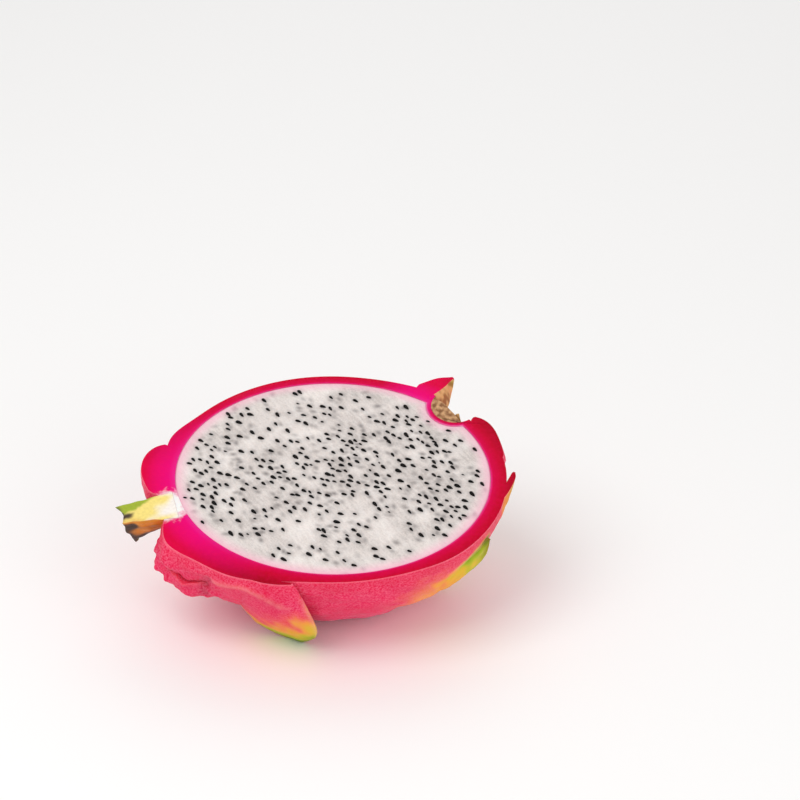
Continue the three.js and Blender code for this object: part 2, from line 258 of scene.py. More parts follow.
def line_nearness(ways: Array, line: tuple[Bearing, ...], spread: float) -> Array:
    """Share that falls off as exp(−(angle / spread)²) from a line over the skin.

    Args:
        ways: Unit vectors from the middle of the face.
        line: Corners of the line, in degrees round the face and below it.
        spread: Spread in degrees.

    Returns:
        One share for each way.
    """
    corners = np.array(line, float)
    steps = np.linspace(0, len(corners) - 1, 12 * len(corners))
    spots = direction(*(np.interp(steps, np.arange(len(corners)), column) for column in corners.T))
    angle = np.degrees(np.arccos(np.clip(ways @ spots.T, -1, 1).max(axis=-1)))
    return np.exp(-((angle / spread) ** 2))


@dataclass(frozen=True)
class Flesh:
    """Sizes of the white flesh in millimetres and its radius rule."""

    long: float = 47.36
    short: float = 40.05
    depth: float = 39.8
    turn: float = -4.85

    def radius(self, ways: Array, grow: float = 0.0) -> Array:
        """Distance from the middle of the face to the flesh.

        1 / √((along / long)² + (across / short)² + (down / depth)²) of an ellipsoid that is
        turned in the face, plus the flat stretches of its side.

        Args:
            ways: Unit vectors from the middle of the face.
            grow: Margin added to each half axis.

        Returns:
            One radius for each way.
        """
        turn = radians(self.turn)
        along = ways[..., 0] * np.cos(turn) + ways[..., 1] * np.sin(turn)
        across = ways[..., 1] * np.cos(turn) - ways[..., 0] * np.sin(turn)
        parts = (
            along / (self.long + grow),
            across / (self.short + grow),
            ways[..., 2] / (self.depth + grow),
        )
        even = 1 / np.sqrt(sum(part ** 2 for part in parts))
        return even + sum(swelling(ways, stretch) for stretch in FLAT_STRETCHES)

    def dented_radius(self, ways: Array, grow: float = 0.0) -> Array:
        """The radius, but no further than the ball-shaped dent round the flower's hollow.

        A ray meets the ball where t² − 2t(way·middle) + |middle|² − r² is zero.

        Args:
            ways: Unit vectors from the middle of the face.
            grow: Margin of the flesh, which shrinks the ball.

        Returns:
            One radius for each way.
        """
        ball = HOLLOW_RADIUS + SOLID_GAP + HOLLOW_LINING - grow
        along = ways @ HOLLOW_MIDDLE
        under = along ** 2 - HOLLOW_MIDDLE @ HOLLOW_MIDDLE + ball ** 2
        entry = np.where(under > 0, along - np.sqrt(np.maximum(under, 0)), np.inf)
        return np.minimum(self.radius(ways, grow), np.where(along > 0, entry, np.inf))


FLESH = Flesh()
PEEL_THICKNESS = 3.1

# The low swelling under a scale's root: its height in millimetres where the scale's hold is one,
# and its spread in degrees for each millimetre of the scale's width.
SWELL_HEIGHT = 1.4
SWELL_SPREAD = 0.55


def skin_radius(ways: Array) -> Array:
    """Distance from the middle of the face to the skin.

    The flesh, the rind's thickness, the swellings and a low swelling under each scale's root.

    Args:
        ways: Unit vectors from the middle of the face.

    Returns:
        One radius for each way.
    """
    radius = FLESH.radius(ways) + PEEL_THICKNESS + sum(swelling(ways, bulge) for bulge in SWELLINGS)
    for scale in SCALES:
        bulge = Swelling(*scale.root, SWELL_HEIGHT / scale.hold, SWELL_SPREAD * scale.width)
        radius = radius + swelling(ways, bulge)
    return radius


@dataclass
class Grid:
    """Closed surface through rings of points: an array of rings, ring points and coordinates."""

    rings: Array
    start: Array
    end: Array

    def points(self) -> Array:
        """All points: the rings one after the other, then the start and the end point."""
        return np.concatenate([self.rings.reshape(-1, 3), self.start[None], self.end[None]])

    def faces(self) -> tuple[Array, Array]:
        """Corner numbers, with ring k's points from k × count on.

        Returns:
            The four-sided faces between the rings, and the triangles that close both ends.
        """
        ring_count, count = self.rings.shape[:2]
        near = np.arange(count)
        far = np.roll(near, -1)
        base = (np.arange(ring_count - 1) * count)[:, None]
        quads = np.stack([base + near, base + count + near, base + count + far, base + far], -1)
        last = (ring_count - 1) * count
        start_index, end_index = ring_count * count, ring_count * count + 1
        fans = np.concatenate([
            np.stack([np.full(count, start_index), near, far], -1),
            np.stack([np.full(count, end_index), last + far, last + near], -1),
        ])
        return quads.reshape(-1, 4), fans


def mesh_object(name: str, points: Array, quads: Array, triangles: Array) -> Piece:
    """New object of face-frame points, with its faces turned outwards.

    The sum of corner · (corner × corner) over all triangles is six times the volume, and is less
    than zero where the faces point inwards.

    Args:
        name: Name of the object and its mesh.
        points: Face-frame points in millimetres.
        quads: Corner numbers of the four-sided faces.
        triangles: Corner numbers of the triangles.

    Returns:
        The linked object, smooth-shaded.
    """
    halves = (points[quads[:, [0, 1, 2]]], points[quads[:, [0, 2, 3]]])
    corners = np.concatenate([points[triangles], *halves])
    volume = np.einsum("ij,ij->", corners[:, 0], np.cross(corners[:, 1], corners[:, 2]))
    if volume < 0:
        quads, triangles = quads[:, ::-1], triangles[:, ::-1]
    mesh = bpy.data.meshes.new(name)
    mesh.from_pydata(to_world(points).tolist(), [], quads.tolist() + triangles.tolist())
    mesh.polygons.foreach_set("use_smooth", np.ones(len(mesh.polygons), bool))
    piece = bpy.data.objects.new(name, mesh)
    bpy.context.scene.collection.objects.link(piece)
    return piece


def grid_object(name: str, grid: Grid) -> Piece:
    """New object of one closed grid."""
    return mesh_object(name, grid.points(), *grid.faces())


def coordinates(mesh: Mesh) -> Array:
    """Vertex places of a mesh.

    Args:
        mesh: Mesh to read.

    Returns:
        Rows of x, y and z in metres.
    """
    values = np.empty(len(mesh.vertices) * 3, np.float32)
    mesh.vertices.foreach_get("co", values)
    return values.reshape(-1, 3).astype(float)


def place_vertices(mesh: Mesh, points: Array) -> None:
    """Moves the vertices of a mesh to rows of face-frame millimetres."""
    mesh.vertices.foreach_set("co", to_world(points).astype(np.float32).ravel())
    mesh.update()


def store(mesh: Mesh, name: str, values: Array) -> None:
    """Writes one number, or one linear colour, for each vertex.

    Args:
        mesh: Mesh that gets the attribute.
        name: Name that the finish reads it by.
        values: One number or one row of red, green and blue for each vertex.
    """
    if values.ndim == 1:
        attribute = mesh.attributes.new(name, "FLOAT", "POINT")
        attribute.data.foreach_set("value", values.astype(np.float32))
        return
    colours = np.ones((len(values), 4), np.float32)
    colours[:, :3] = values
    attribute = mesh.attributes.new(name, "FLOAT_COLOR", "POINT")
    attribute.data.foreach_set("color", colours.ravel())


def combine(target: Piece, tools: list[Piece], change: Change) -> None:
    """Joins the tools to the target, or cuts them out of it, and deletes them.

    Args:
        target: Object whose mesh is replaced by the result.
        tools: Closed objects to add or to cut with, one after the other.
        change: Whether to join or to cut.
    """
    for tool in tools:
        modifier = target.modifiers.new("change", "BOOLEAN")
        modifier.operation = change.value
        modifier.solver = "MANIFOLD"
        modifier.object = tool
    graph = bpy.context.evaluated_depsgraph_get()
    result = bpy.data.meshes.new_from_object(target.evaluated_get(graph), depsgraph=graph)
    target.modifiers.clear()
    target.data = result
    for tool in tools:
        bpy.data.objects.remove(tool)


def box_rings(low: Point, high: Point) -> Array:
    """Corners of a box, as a ring at its lowest level and one at its highest."""
    (a, b, c), (d, e, f) = low, high
    return np.array([[[a, b, h], [d, b, h], [d, e, h], [a, e, h]] for h in (c, f)], float)


def block(name: str, rings: Array) -> Piece:
    """Closed block through two rings of corners in the face frame, for cutting."""
    return grid_object(name, Grid(rings, rings[0].mean(0), rings[1].mean(0)))


def above_face() -> Piece:
    """Block over the cut face."""
    low, high = (-BLOCK_REACH, -BLOCK_REACH, 0), (BLOCK_REACH, BLOCK_REACH, BLOCK_DEPTH)
    return block("above_face", box_rings(low, high))


def below_table() -> Piece:
    """Block under the table: a box that is level in the world, turned back into the face frame."""
    low, high = (-BLOCK_REACH, -BLOCK_REACH, -BLOCK_DEPTH), (BLOCK_REACH, BLOCK_REACH, 0)
    return block("below_table", to_face(box_rings(low, high) * MM))


def round_grid(
    radius_of: Callable[[Array], Array], around: int, down_steps: int, above: float = -6.0,
) -> Grid:
    """Closed surface of a radius rule, from a little above the face down to the pole.

    Args:
        radius_of: Function from ways to radii.
        around: Points round the face.
        down_steps: Rings down to the pole.
        above: Degrees of the first ring, less than zero above the face.

    Returns:
        The grid: point = way × radius(way).
    """
    turns = np.arange(around) * 360 / around
    downs = above + (90 - above) * np.arange(down_steps) / down_steps
    ways = direction(turns[None, :], downs[:, None])
    rings = ways * radius_of(ways)[..., None]
    pole = direction(0, 90)
    return Grid(rings, np.array([0, 0, rings[0, :, 2].max()]), pole * radius_of(pole))


def split_long_edges(piece: Piece, longest: float = 0.9, rounds: int = 3) -> None:
    """Cuts wide faces up, so that the colours have vertices to lie on.

    Args:
        piece: Object to refine.
        longest: Length in millimetres past which an edge is halved.
        rounds: How many times the edges are halved.
    """
    work = bmesh.new()
    work.from_mesh(piece.data)
    bmesh.ops.triangulate(work, faces=[face for face in work.faces if len(face.verts) > 4])
    for _ in range(rounds):
        edges = [edge for edge in work.edges if edge.calc_length() > longest * MM]
        bmesh.ops.subdivide_edges(work, edges=edges, cuts=1)
        bmesh.ops.triangulate(work, faces=work.faces)
    work.to_mesh(piece.data)
    work.free()


@dataclass
class Draws:
    """The part's own series of random numbers, so that the seeds lie where its source puts them."""

    state: int = 20817

    def next(self) -> float:
        """Next number between 0 and 1: the state times 16807, modulo 2147483647."""
        self.state = self.state * 16807 % 2147483647
        return self.state / 2147483647


def add_node(
    material: Material,
    kind: str,
    inputs: dict[int | str, Value],
    output: int | str = 0,
    stops: tuple[tuple[float, str], ...] = (),
    **settings: str,
) -> Socket | None:
    """Adds one node with its settings and links.

    Args:
        material: Material that gets the node.
        kind: Node type, without the words that all of them start with.
        inputs: Number, colour or socket for each input, by its name or place.
        output: Name or place of the output that is wanted.
        stops: Places and sRGB colours of a ramp.
        settings: Properties of the node.

    Returns:
        The socket of the output, or None for a node that has no output.
    """
    node = material.node_tree.nodes.new(f"ShaderNode{kind}")
    for key, value in settings.items():
        setattr(node, key, value)
    for key, value in inputs.items():
        if isinstance(value, Socket):
            material.node_tree.links.new(value, node.inputs[key])
        else:
            node.inputs[key].default_value = value
    if stops:
        elements = node.color_ramp.elements
        while len(elements) < len(stops):
            elements.new(0.5)
        for element, (place, colour) in zip(elements, stops):
            element.position, element.color = place, linear(colour)
    return node.outputs[output] if node.outputs else None


def per_mm(size: float) -> float:
    """Scale of a noise whose lumps are about as large as the size in millimetres."""
    return 1 / (size * MM)


def face_coordinates(material: Material) -> Socket:
    """Object coordinates turned into the face frame and along the flesh's long axis.

    Args:
        material: Material that gets the nodes.

    Returns:
        Vector socket in metres.
    """
    place = add_node(material, "TexCoord", {}, "Object")
    moved = add_node(material, "Mapping", {"Vector": place, "Location": tuple(-FACE_PLACE * MM)})
    turn = (-FACE_TILT, 0, -radians(FLESH.turn))
    return add_node(material, "Mapping", {"Vector": moved, "Rotation": turn})


def spot_distance(material: Material, place: Socket, spot: Spot) -> Socket:
    """Distance from a spot of the cut face.

    Args:
        material: Material that gets the nodes.
        place: Turned face coordinates.
        spot: u and v of the spot in millimetres.

    Returns:
        Value socket in millimetres.
    """
    turn = radians(FLESH.turn)
    u, v = spot[0] * MM, spot[1] * MM
    middle = (u * np.cos(turn) + v * np.sin(turn), v * np.cos(turn) - u * np.sin(turn), 0)
    apart = add_node(material, "VectorMath", {0: place, 1: middle}, "Value", operation="DISTANCE")
    return add_node(material, "Math", {0: apart, 1: MM}, operation="DIVIDE")


def rim_distance(material: Material) -> Socket:
    """Distance outwards from the edge of the flesh in the cut face.

    The larger of (length of (u / long, v / short) − 1) × the mean radius, with the depth left
    out, and of the way into the dent round the flower's hollow.

    Args:
        material: Material that gets the nodes.

    Returns:
        Value socket in millimetres, less than zero in the flesh.
    """
    place = face_coordinates(material)
    shares = (1 / (FLESH.long * MM), 1 / (FLESH.short * MM), 0)
    scaled = add_node(material, "VectorMath", {0: place, 1: shares}, operation="MULTIPLY")
    length = add_node(material, "VectorMath", {0: scaled}, "Value", operation="LENGTH")
    past = add_node(material, "Math", {0: length, 1: 1.0}, operation="SUBTRACT")
    mean = (FLESH.long + FLESH.short) / 2
    even = add_node(material, "Math", {0: past, 1: mean}, operation="MULTIPLY")
    hollow = spot_distance(material, place, tuple(HOLLOW_MIDDLE[:2]))
    dent = add_node(
        material, "Math", {0: HOLLOW_RADIUS + HOLLOW_LINING, 1: hollow}, operation="SUBTRACT",
    )
    return add_node(material, "Math", {0: even, 1: dent}, operation="MAXIMUM")


@dataclass(frozen=True)
class Finish:
    """Base of the finishes: the material's name, and a shader fed by the finish's own values."""

    name: str

    def values(self, material: Material) -> dict[int | str, Value]:
        """Inputs of the shader by name. Each finish has its own."""
        return {}

    def build(self) -> Material:
        """Makes the material.

        Returns:
            New material with one Principled shader.
        """
        material = bpy.data.materials.new(self.name)
        material.use_nodes = True
        material.node_tree.nodes.clear()
        shader = add_node(material, "BsdfPrincipled", self.values(material))
        add_node(material, "OutputMaterial", {"Surface": shader})
        return material


@dataclass(frozen=True)
class WaxySkin(Finish):
    """Dragon fruit skin, grown and unwashed: a waxy cuticle over grained coral tissue.

    Sizes are in millimetres. The real grains are finer than the half millimetre that shows here.
    """

    name: str = "dragon_fruit_skin"
    grain: float = 0.55
    blotch: float = 9.0
    dull_patch: float = 2.0
    pore: float = 0.7
    pale: str = "#ff86a8"
    deep: str = "#c4103c"

    def values(self, material: Material) -> dict[int | str, Value]:
        """Tint with paler grains and deeper blotches where the skin is pink, and a fine bump.

        Args:
            material: Material that gets the nodes.

        Returns:
            Inputs of the shader.
        """
        place = add_node(material, "TexCoord", {}, "Object")
        tint = add_node(material, "Attribute", {}, "Color", attribute_name="tint")
        pink = add_node(material, "Attribute", {}, "Fac", attribute_name="pinkness")
        fine = add_node(
            material, "TexNoise", {"Vector": place, "Scale": per_mm(self.grain), "Detail": 2.0},
        )
        broad = add_node(
            material, "TexNoise", {"Vector": place, "Scale": per_mm(self.blotch), "Detail": 3.0},
        )
        grains = add_node(material, "MapRange", {"Value": fine, "From Min": 0.36, "From Max": 0.66})
        blotches = add_node(
            material, "MapRange",
            {"Value": broad, "From Min": 0.3, "From Max": 0.7, "To Max": 0.35},
        )
        paler = add_node(
            material, "Mix", {0: 0.42, 6: tint, 7: linear(self.pale)}, 2, data_type="RGBA",
        )
        deeper = add_node(
            material, "Mix", {0: 0.5, 6: tint, 7: linear(self.deep)}, 2, data_type="RGBA",
        )
        grainy = add_node(material, "Math", {0: grains, 1: pink}, operation="MULTIPLY")
        blotchy = add_node(material, "Math", {0: blotches, 1: pink}, operation="MULTIPLY")
        speckled = add_node(material, "Mix", {0: grainy, 6: tint, 7: paler}, 2, data_type="RGBA")
        colour = add_node(
            material, "Mix", {0: blotchy, 6: speckled, 7: deeper}, 2, data_type="RGBA",
        )
        patches = add_node(
            material, "TexNoise",
            {"Vector": place, "Scale": per_mm(self.dull_patch), "Detail": 2.0},
        )
        rough = add_node(
            material, "MapRange",
            {"Value": patches, "From Min": 0.3, "From Max": 0.7, "To Min": 0.42, "To Max": 0.58},
        )
        pores = add_node(
            material, "TexNoise", {"Vector": place, "Scale": per_mm(self.pore), "Detail": 3.0},
        )
        bump = add_node(material, "Bump", {"Strength": 0.25, "Distance": 0.0002, "Height": pores})
        # Wax gives a matt skin with soft broad lights, and the wet tissue under it a red glow.
        return {
            "Base Color": colour,
            "Roughness": rough,
            "Normal": bump,
            "Specular IOR Level": 0.16,
            "Subsurface Weight": 0.12,
            "Subsurface Radius": (0.003, 0.0008, 0.0008),
            "Subsurface Scale": 1.0,
        }


@dataclass(frozen=True)
class CutRind(Finish):
    """Dragon fruit rind, cut with a knife: wet and crimson, magenta at both ends.

    Spots are u and v in the cut face, and sizes are in millimetres. Widths are how far each row of
    colours runs outwards from the flesh. Fades are the distances from a spot at which magenta, or
    the white pith, starts and is full. Each reach is how far noise shifts such a border.
    """

    name: str = "dragon_fruit_cut_rind"
    stem_spot: Spot = (-54.0, -14.0)
    flower_spot: Spot = (28.0, 38.0)
    pith_spot: Spot = (-48.5, -12.6)
    stem_fade: tuple[float, float] = (44.0, 18.0)
    flower_fade: tuple[float, float] = (14.0, 5.0)
    pith_fade: tuple[float, float] = (9.6, 6.4)
    crimson_width: float = 7.0
    magenta_width: float = 11.0
    wander: float = 5.0
    wander_reach: float = 0.4
    pith_fibre: float = 1.6
    pith_reach: float = 5.0
    streak: float = 1.2
    streak_share: float = 0.14
    pulp: float = 1.0
    crimson: tuple[tuple[float, str], ...] = (
        (0.0, "#ee8db8"), (0.07, "#e4307e"), (0.14, "#d20046"), (0.45, "#c4002c"), (1.0, "#a0001a"),
    )
    magenta: tuple[tuple[float, str], ...] = (
        (0.0, "#f4a8c8"), (0.05, "#ea2288"), (0.2, "#e80074"), (0.5, "#e40064"), (0.8, "#d80040"),
    )
    bright: str = "#ff0a60"
    pith: str = "#faf0ee"

    def values(self, material: Material) -> dict[int | str, Value]:
        """Colours by the distance from the flesh, with fine streaks and white pith at the stem.

        Args:
            material: Material that gets the nodes.

        Returns:
            Inputs of the shader.
        """
        place = add_node(material, "TexCoord", {}, "Object")
        wander = add_node(
            material, "TexNoise", {"Vector": place, "Scale": per_mm(self.wander), "Detail": 2.0},
        )
        distance = add_node(
            material, "Math", {0: wander, 1: self.wander_reach, 2: rim_distance(material)},
            operation="MULTIPLY_ADD",
        )
        ramps = []
        rows = ((self.crimson_width, self.crimson), (self.magenta_width, self.magenta))
        for width, stops in rows:
            share = add_node(
                material, "MapRange", {"Value": distance, "From Min": -0.2, "From Max": width},
            )
            ramps.append(add_node(material, "ValToRGB", {"Fac": share}, stops=stops))
        face = face_coordinates(material)
        ends = []
        for spot, fade in ((self.stem_spot, self.stem_fade), (self.flower_spot, self.flower_fade)):
            apart = spot_distance(material, face, spot)
            ends.append(add_node(
                material, "MapRange", {"Value": apart, "From Min": fade[0], "From Max": fade[1]},
            ))
        vivid = add_node(material, "Math", {0: ends[0], 1: ends[1]}, operation="MAXIMUM")
        colour = add_node(
            material, "Mix", {0: vivid, 6: ramps[0], 7: ramps[1]}, 2, data_type="RGBA",
        )
        strands = add_node(
            material, "TexNoise", {"Vector": place, "Scale": per_mm(self.streak), "Detail": 3.0},
        )
        streaks = add_node(
            material, "MapRange",
            {"Value": strands, "From Min": 0.4, "From Max": 0.75, "To Max": self.streak_share},
        )
        colour = add_node(
            material, "Mix", {0: streaks, 6: colour, 7: linear(self.bright)}, 2, data_type="RGBA",
        )
        torn = add_node(
            material, "TexNoise",
            {"Vector": place, "Scale": per_mm(self.pith_fibre), "Detail": 3.0},
        )
        apart = spot_distance(material, face, self.pith_spot)
        fan = add_node(
            material, "Math", {0: torn, 1: self.pith_reach, 2: apart}, operation="MULTIPLY_ADD",
        )
        far, near = self.pith_fade
        white = add_node(material, "MapRange", {"Value": fan, "From Min": far, "From Max": near})
        colour = add_node(
            material, "Mix", {0: white, 6: colour, 7: linear(self.pith)}, 2, data_type="RGBA",
        )
        pulp = add_node(
            material, "TexNoise", {"Vector": place, "Scale": per_mm(self.pulp), "Detail": 3.0},
        )
        bump = add_node(material, "Bump", {"Strength": 0.2, "Distance": 0.0002, "Height": pulp})
        # Juice on the cut gives deep colour that glows red, with only a faint shine.
        return {
            "Base Color": colour,
            "Roughness": 0.3,
            "Normal": bump,
            "Specular IOR Level": 0.05,
            "Subsurface Weight": 0.2,
            "Subsurface Radius": (0.004, 0.0008, 0.001),
            "Subsurface Scale": 1.0,
        }


@dataclass(frozen=True)
class WhiteFlesh(Finish):
    """Dragon fruit flesh, cut with a knife: moist, translucent and finely fibrous.

    Sizes are in millimetres. The grains are drawn a little coarser than real ones, so they show.
    """

    name: str = "dragon_fruit_flesh"
    fibre: float = 0.9
    fibre_turn: float = 50
    cloud: float = 9.0
    grain: float = 0.5
    whites: tuple[tuple[float, str], ...] = ((0.0, "#c4bbb6"), (0.4, "#dad1cc"), (1.0, "#efe7e2"))
    buried_seed: str = "#787170"
    rim: str = "#f5b4c8"

    def values(self, material: Material) -> dict[int | str, Value]:
        """White by fibres, clouds and grains, with seed shadows and a pink rim.

        Args:
            material: Material that gets the nodes.

        Returns:
            Inputs of the shader.
        """
        place = add_node(material, "TexCoord", {}, "Object")
        turn = (0, 0, radians(self.fibre_turn))
        turned = add_node(
            material, "Mapping", {"Vector": face_coordinates(material), "Rotation": turn},
        )
        drawn_out = add_node(material, "Mapping", {"Vector": turned, "Scale": (0.25, 1, 1)})
        fibres = add_node(
            material, "TexNoise",
            {"Vector": drawn_out, "Scale": per_mm(self.fibre), "Detail": 4.0, "Roughness": 0.6},
        )
        clouds = add_node(
            material, "TexNoise", {"Vector": place, "Scale": per_mm(self.cloud), "Detail": 4.0},
        )
        grains = add_node(
            material, "TexNoise", {"Vector": place, "Scale": per_mm(self.grain), "Detail": 2.0},
        )
        tone = add_node(material, "Math", {0: fibres, 1: 0.3}, operation="MULTIPLY")
        for layer, weight in ((clouds, 0.46), (grains, 0.24)):
            tone = add_node(
                material, "Math", {0: layer, 1: weight, 2: tone}, operation="MULTIPLY_ADD",
            )
        share = add_node(material, "MapRange", {"Value": tone, "From Min": 0.37, "From Max": 0.63})
        white = add_node(material, "ValToRGB", {"Fac": share}, stops=self.whites)
        shadow = add_node(material, "Attribute", {}, "Fac", attribute_name="shadow")
        shadowed = add_node(
            material, "Mix", {0: shadow, 6: white, 7: linear(self.buried_seed)}, 2,
            data_type="RGBA",
        )
        distance = add_node(
            material, "Math", {0: clouds, 1: 1.4, 2: rim_distance(material)},
            operation="MULTIPLY_ADD",
        )
        near_rim = add_node(
            material, "MapRange", {"Value": distance, "From Min": -3.8, "From Max": 0.6},
        )
        eased = add_node(material, "Math", {0: near_rim, 1: 1.6}, operation="POWER")
        pink = add_node(material, "Math", {0: eased, 1: 0.85}, operation="MULTIPLY")
        colour = add_node(
            material, "Mix", {0: pink, 6: shadowed, 7: linear(self.rim)}, 2, data_type="RGBA",
        )
        rough = add_node(
            material, "MapRange",
            {"Value": fibres, "From Min": 0.3, "From Max": 0.7, "To Min": 0.28, "To Max": 0.42},
        )
        bump = add_node(material, "Bump", {"Strength": 0.35, "Distance": 0.0003, "Height": fibres})
        # Water in the flesh gives a moist face with small soft lights and a milky depth.
        return {
            "Base Color": colour,
            "Roughness": rough,
            "Normal": bump,
            "IOR": 1.36,
            "Subsurface Weight": 0.25,
            "Subsurface Radius": (0.002, 0.0016, 0.0014),
            "Subsurface Scale": 1.0,
        }


@dataclass(frozen=True)
class SeedCoat(Finish):
    """Dragon fruit seed coat: hard and near black, a little brown in some seeds.

    Patch is the size in millimetres of the stretch in which they look alike.
    """

    name: str = "dragon_fruit_seed_coat"
    patch: float = 3.0
    blacks: tuple[tuple[float, str], ...] = ((0.35, "#030303"), (0.7, "#14100e"))

    def values(self, material: Material) -> dict[int | str, Value]:
        """Black that changes from seed to seed.

        Args:
            material: Material that gets the nodes.

        Returns:
            Inputs of the shader.
        """
        place = add_node(material, "TexCoord", {}, "Object")
        patches = add_node(
            material, "TexNoise", {"Vector": place, "Scale": per_mm(self.patch), "Detail": 1.0},
        )
        colour = add_node(material, "ValToRGB", {"Fac": patches}, stops=self.blacks)
        # A film of juice leaves the seeds black, with a dim light on the largest.
        return {"Base Color": colour, "Roughness": 0.4, "Specular IOR Level": 0.12}


@dataclass(frozen=True)
class TintedTissue(Finish):
    """Fibrous plant tissue whose colours lie in the mesh: the fresh stem or the dried flower.

    Fibre is its width in millimetres, and depth is the bump's height in metres.
    """

    fibre: float = 0.8
    roughness: float = 0.55
    depth: float = 0.0002
    streak: float = 0.6
    groove: str = "#4a3016"

    def values(self, material: Material) -> dict[int | str, Value]:
        """Tint with darker grooves along the fibres.

        Args:
            material: Material that gets the nodes.

        Returns:
            Inputs of the shader.
        """
        place = add_node(material, "TexCoord", {}, "Object")
        tint = add_node(material, "Attribute", {}, "Color", attribute_name="tint")
        fibres = add_node(
            material, "TexNoise", {"Vector": place, "Scale": per_mm(self.fibre), "Detail": 4.0},
        )
        share = add_node(
            material, "MapRange",
            {"Value": fibres, "From Min": 0.35, "From Max": 0.7, "To Max": self.streak},
        )
        darker = add_node(
            material, "Mix", {0: 0.45, 6: tint, 7: linear(self.groove)}, 2,
            data_type="RGBA", blend_type="MULTIPLY",
        )
        colour = add_node(material, "Mix", {0: share, 6: tint, 7: darker}, 2, data_type="RGBA")
        bump = add_node(
            material, "Bump", {"Strength": 0.6, "Distance": self.depth, "Height": fibres},
        )
        # Fibres give a dull, grooved surface: a little sheen on the stem, none on the dry flower.
        return {"Base Color": colour, "Roughness": self.roughness, "Normal": bump}


@dataclass(frozen=True)
class PaperSweep(Finish):
    """Matt white paper under the fruit: even, without a highlight."""

    name: str = "paper_sweep"
    white: str = "#fcfbfa"

    def values(self, material: Material) -> dict[int | str, Value]:
        """Plain near-white."""
        return {"Base Color": linear(self.white), "Roughness": 0.6}


@dataclass
class ScaleShape:
    """Surface of one scale, from its root under the skin to its tip. Sizes in millimetres.

    Curve is the radius of its arch at the root and at the tip. Ripple is the height of the waves
    at its edges, and their radians along and across it. Its thickness fills out from the share
    root fill, which would grow by one in the stretch filled, and its width goes with it from the
    share root width that no fill would have.
    """

    scale: Scale
    steps: int = 44
    across: int = 21
    sink: float = 2.0
    arc_bend: float = 2.0
    margin: float = 0.7
    tip_width: float = 0.7
    curve: tuple[float, float] = (20, 46)
    ripple: tuple[float, float, float] = (0.5, 9, 2)
    root_fill: float = 0.35
    root_width: float = 0.8
    filled: float = 0.3
    shares: Array = field(init=False)
    reach: Array = field(init=False)

    def __post_init__(self) -> None:
        """Parameters along and across: both crowd towards the edges, where the shape is thin."""
        self.shares = np.linspace(0, 1, self.steps) ** 0.9
        self.reach = np.sin(np.linspace(-1, 1, self.across) * np.pi / 2)

    def grid(self) -> Grid:
        """Arc over the body that carries a section with an arched spine.

        The arc is a quadratic Bézier curve. Across it the spine droops by reach² / 2R, waves at
        its edges, and has half a thickness of (margin + core × (1 − across²)) / 2 on each side.

        Returns:
            Closed grid with a ring for each step along the arc.
        """
        scale = self.scale
        root_way, tip_way = direction(*scale.root), direction(*scale.tip)
        middle_way = unit(root_way + tip_way)
        root = root_way * (skin_radius(root_way) - self.sink)
        bend = middle_way * (skin_radius(middle_way) + scale.rise + self.arc_bend)
        tip = tip_way * (skin_radius(tip_way) + scale.lift)
        t = self.shares[:, None]
        spine = (1 - t) ** 2 * root + 2 * t * (1 - t) * bend + t ** 2 * tip
        tangent = unit(2 * (1 - t) * (bend - root) + 2 * t * (tip - bend))
        straight = unit(np.cross(root_way, tip_way))
        angle = np.radians(scale.twist) * t
        side = straight * np.cos(angle) + np.cross(tangent, straight) * np.sin(angle)
        normal = np.cross(tangent, side)
        fill = np.minimum(1, self.root_fill + t / self.filled)
        spread = mix(self.root_width, 1.0, fill) * (1 - t ** scale.blunt)
        half_width = (self.tip_width + scale.width * spread) / 2
        core = (scale.thick - self.margin) * (1 - t ** scale.hold) * fill
        reach = half_width * self.reach
        height, along, across = self.ripple
        wave = height * t * self.reach * np.sin(along * t + across * self.reach)
        rise = wave - reach ** 2 / (2 * mix(*self.curve, t))
        middle = spine[:, None] + side[:, None] * reach[..., None]
        middle = middle + normal[:, None] * rise[..., None]
        half = (self.margin + core * (1 - self.reach ** 2)) / 2
        offset = normal[:, None] * half[..., None]
        rings = np.concatenate([middle + offset, (middle - offset)[:, ::-1]], axis=1)
        return Grid(rings, root, tip)

    def samples(self) -> tuple[Array, Array]:
        """Points of the grid, and where each lies on the scale.

        Returns:
            The points, and rows of (share along, place across, 1 on the outer side or else 0).
        """
        rings = self.grid().rings
        shares = np.repeat(self.shares, rings.shape[1])
        across = np.tile(np.concatenate([self.reach, self.reach[::-1]]), self.steps)
        outer = np.tile(np.repeat([1.0, 0.0], self.across), self.steps)
        return rings.reshape(-1, 3), np.stack([shares, across, outer], 1)


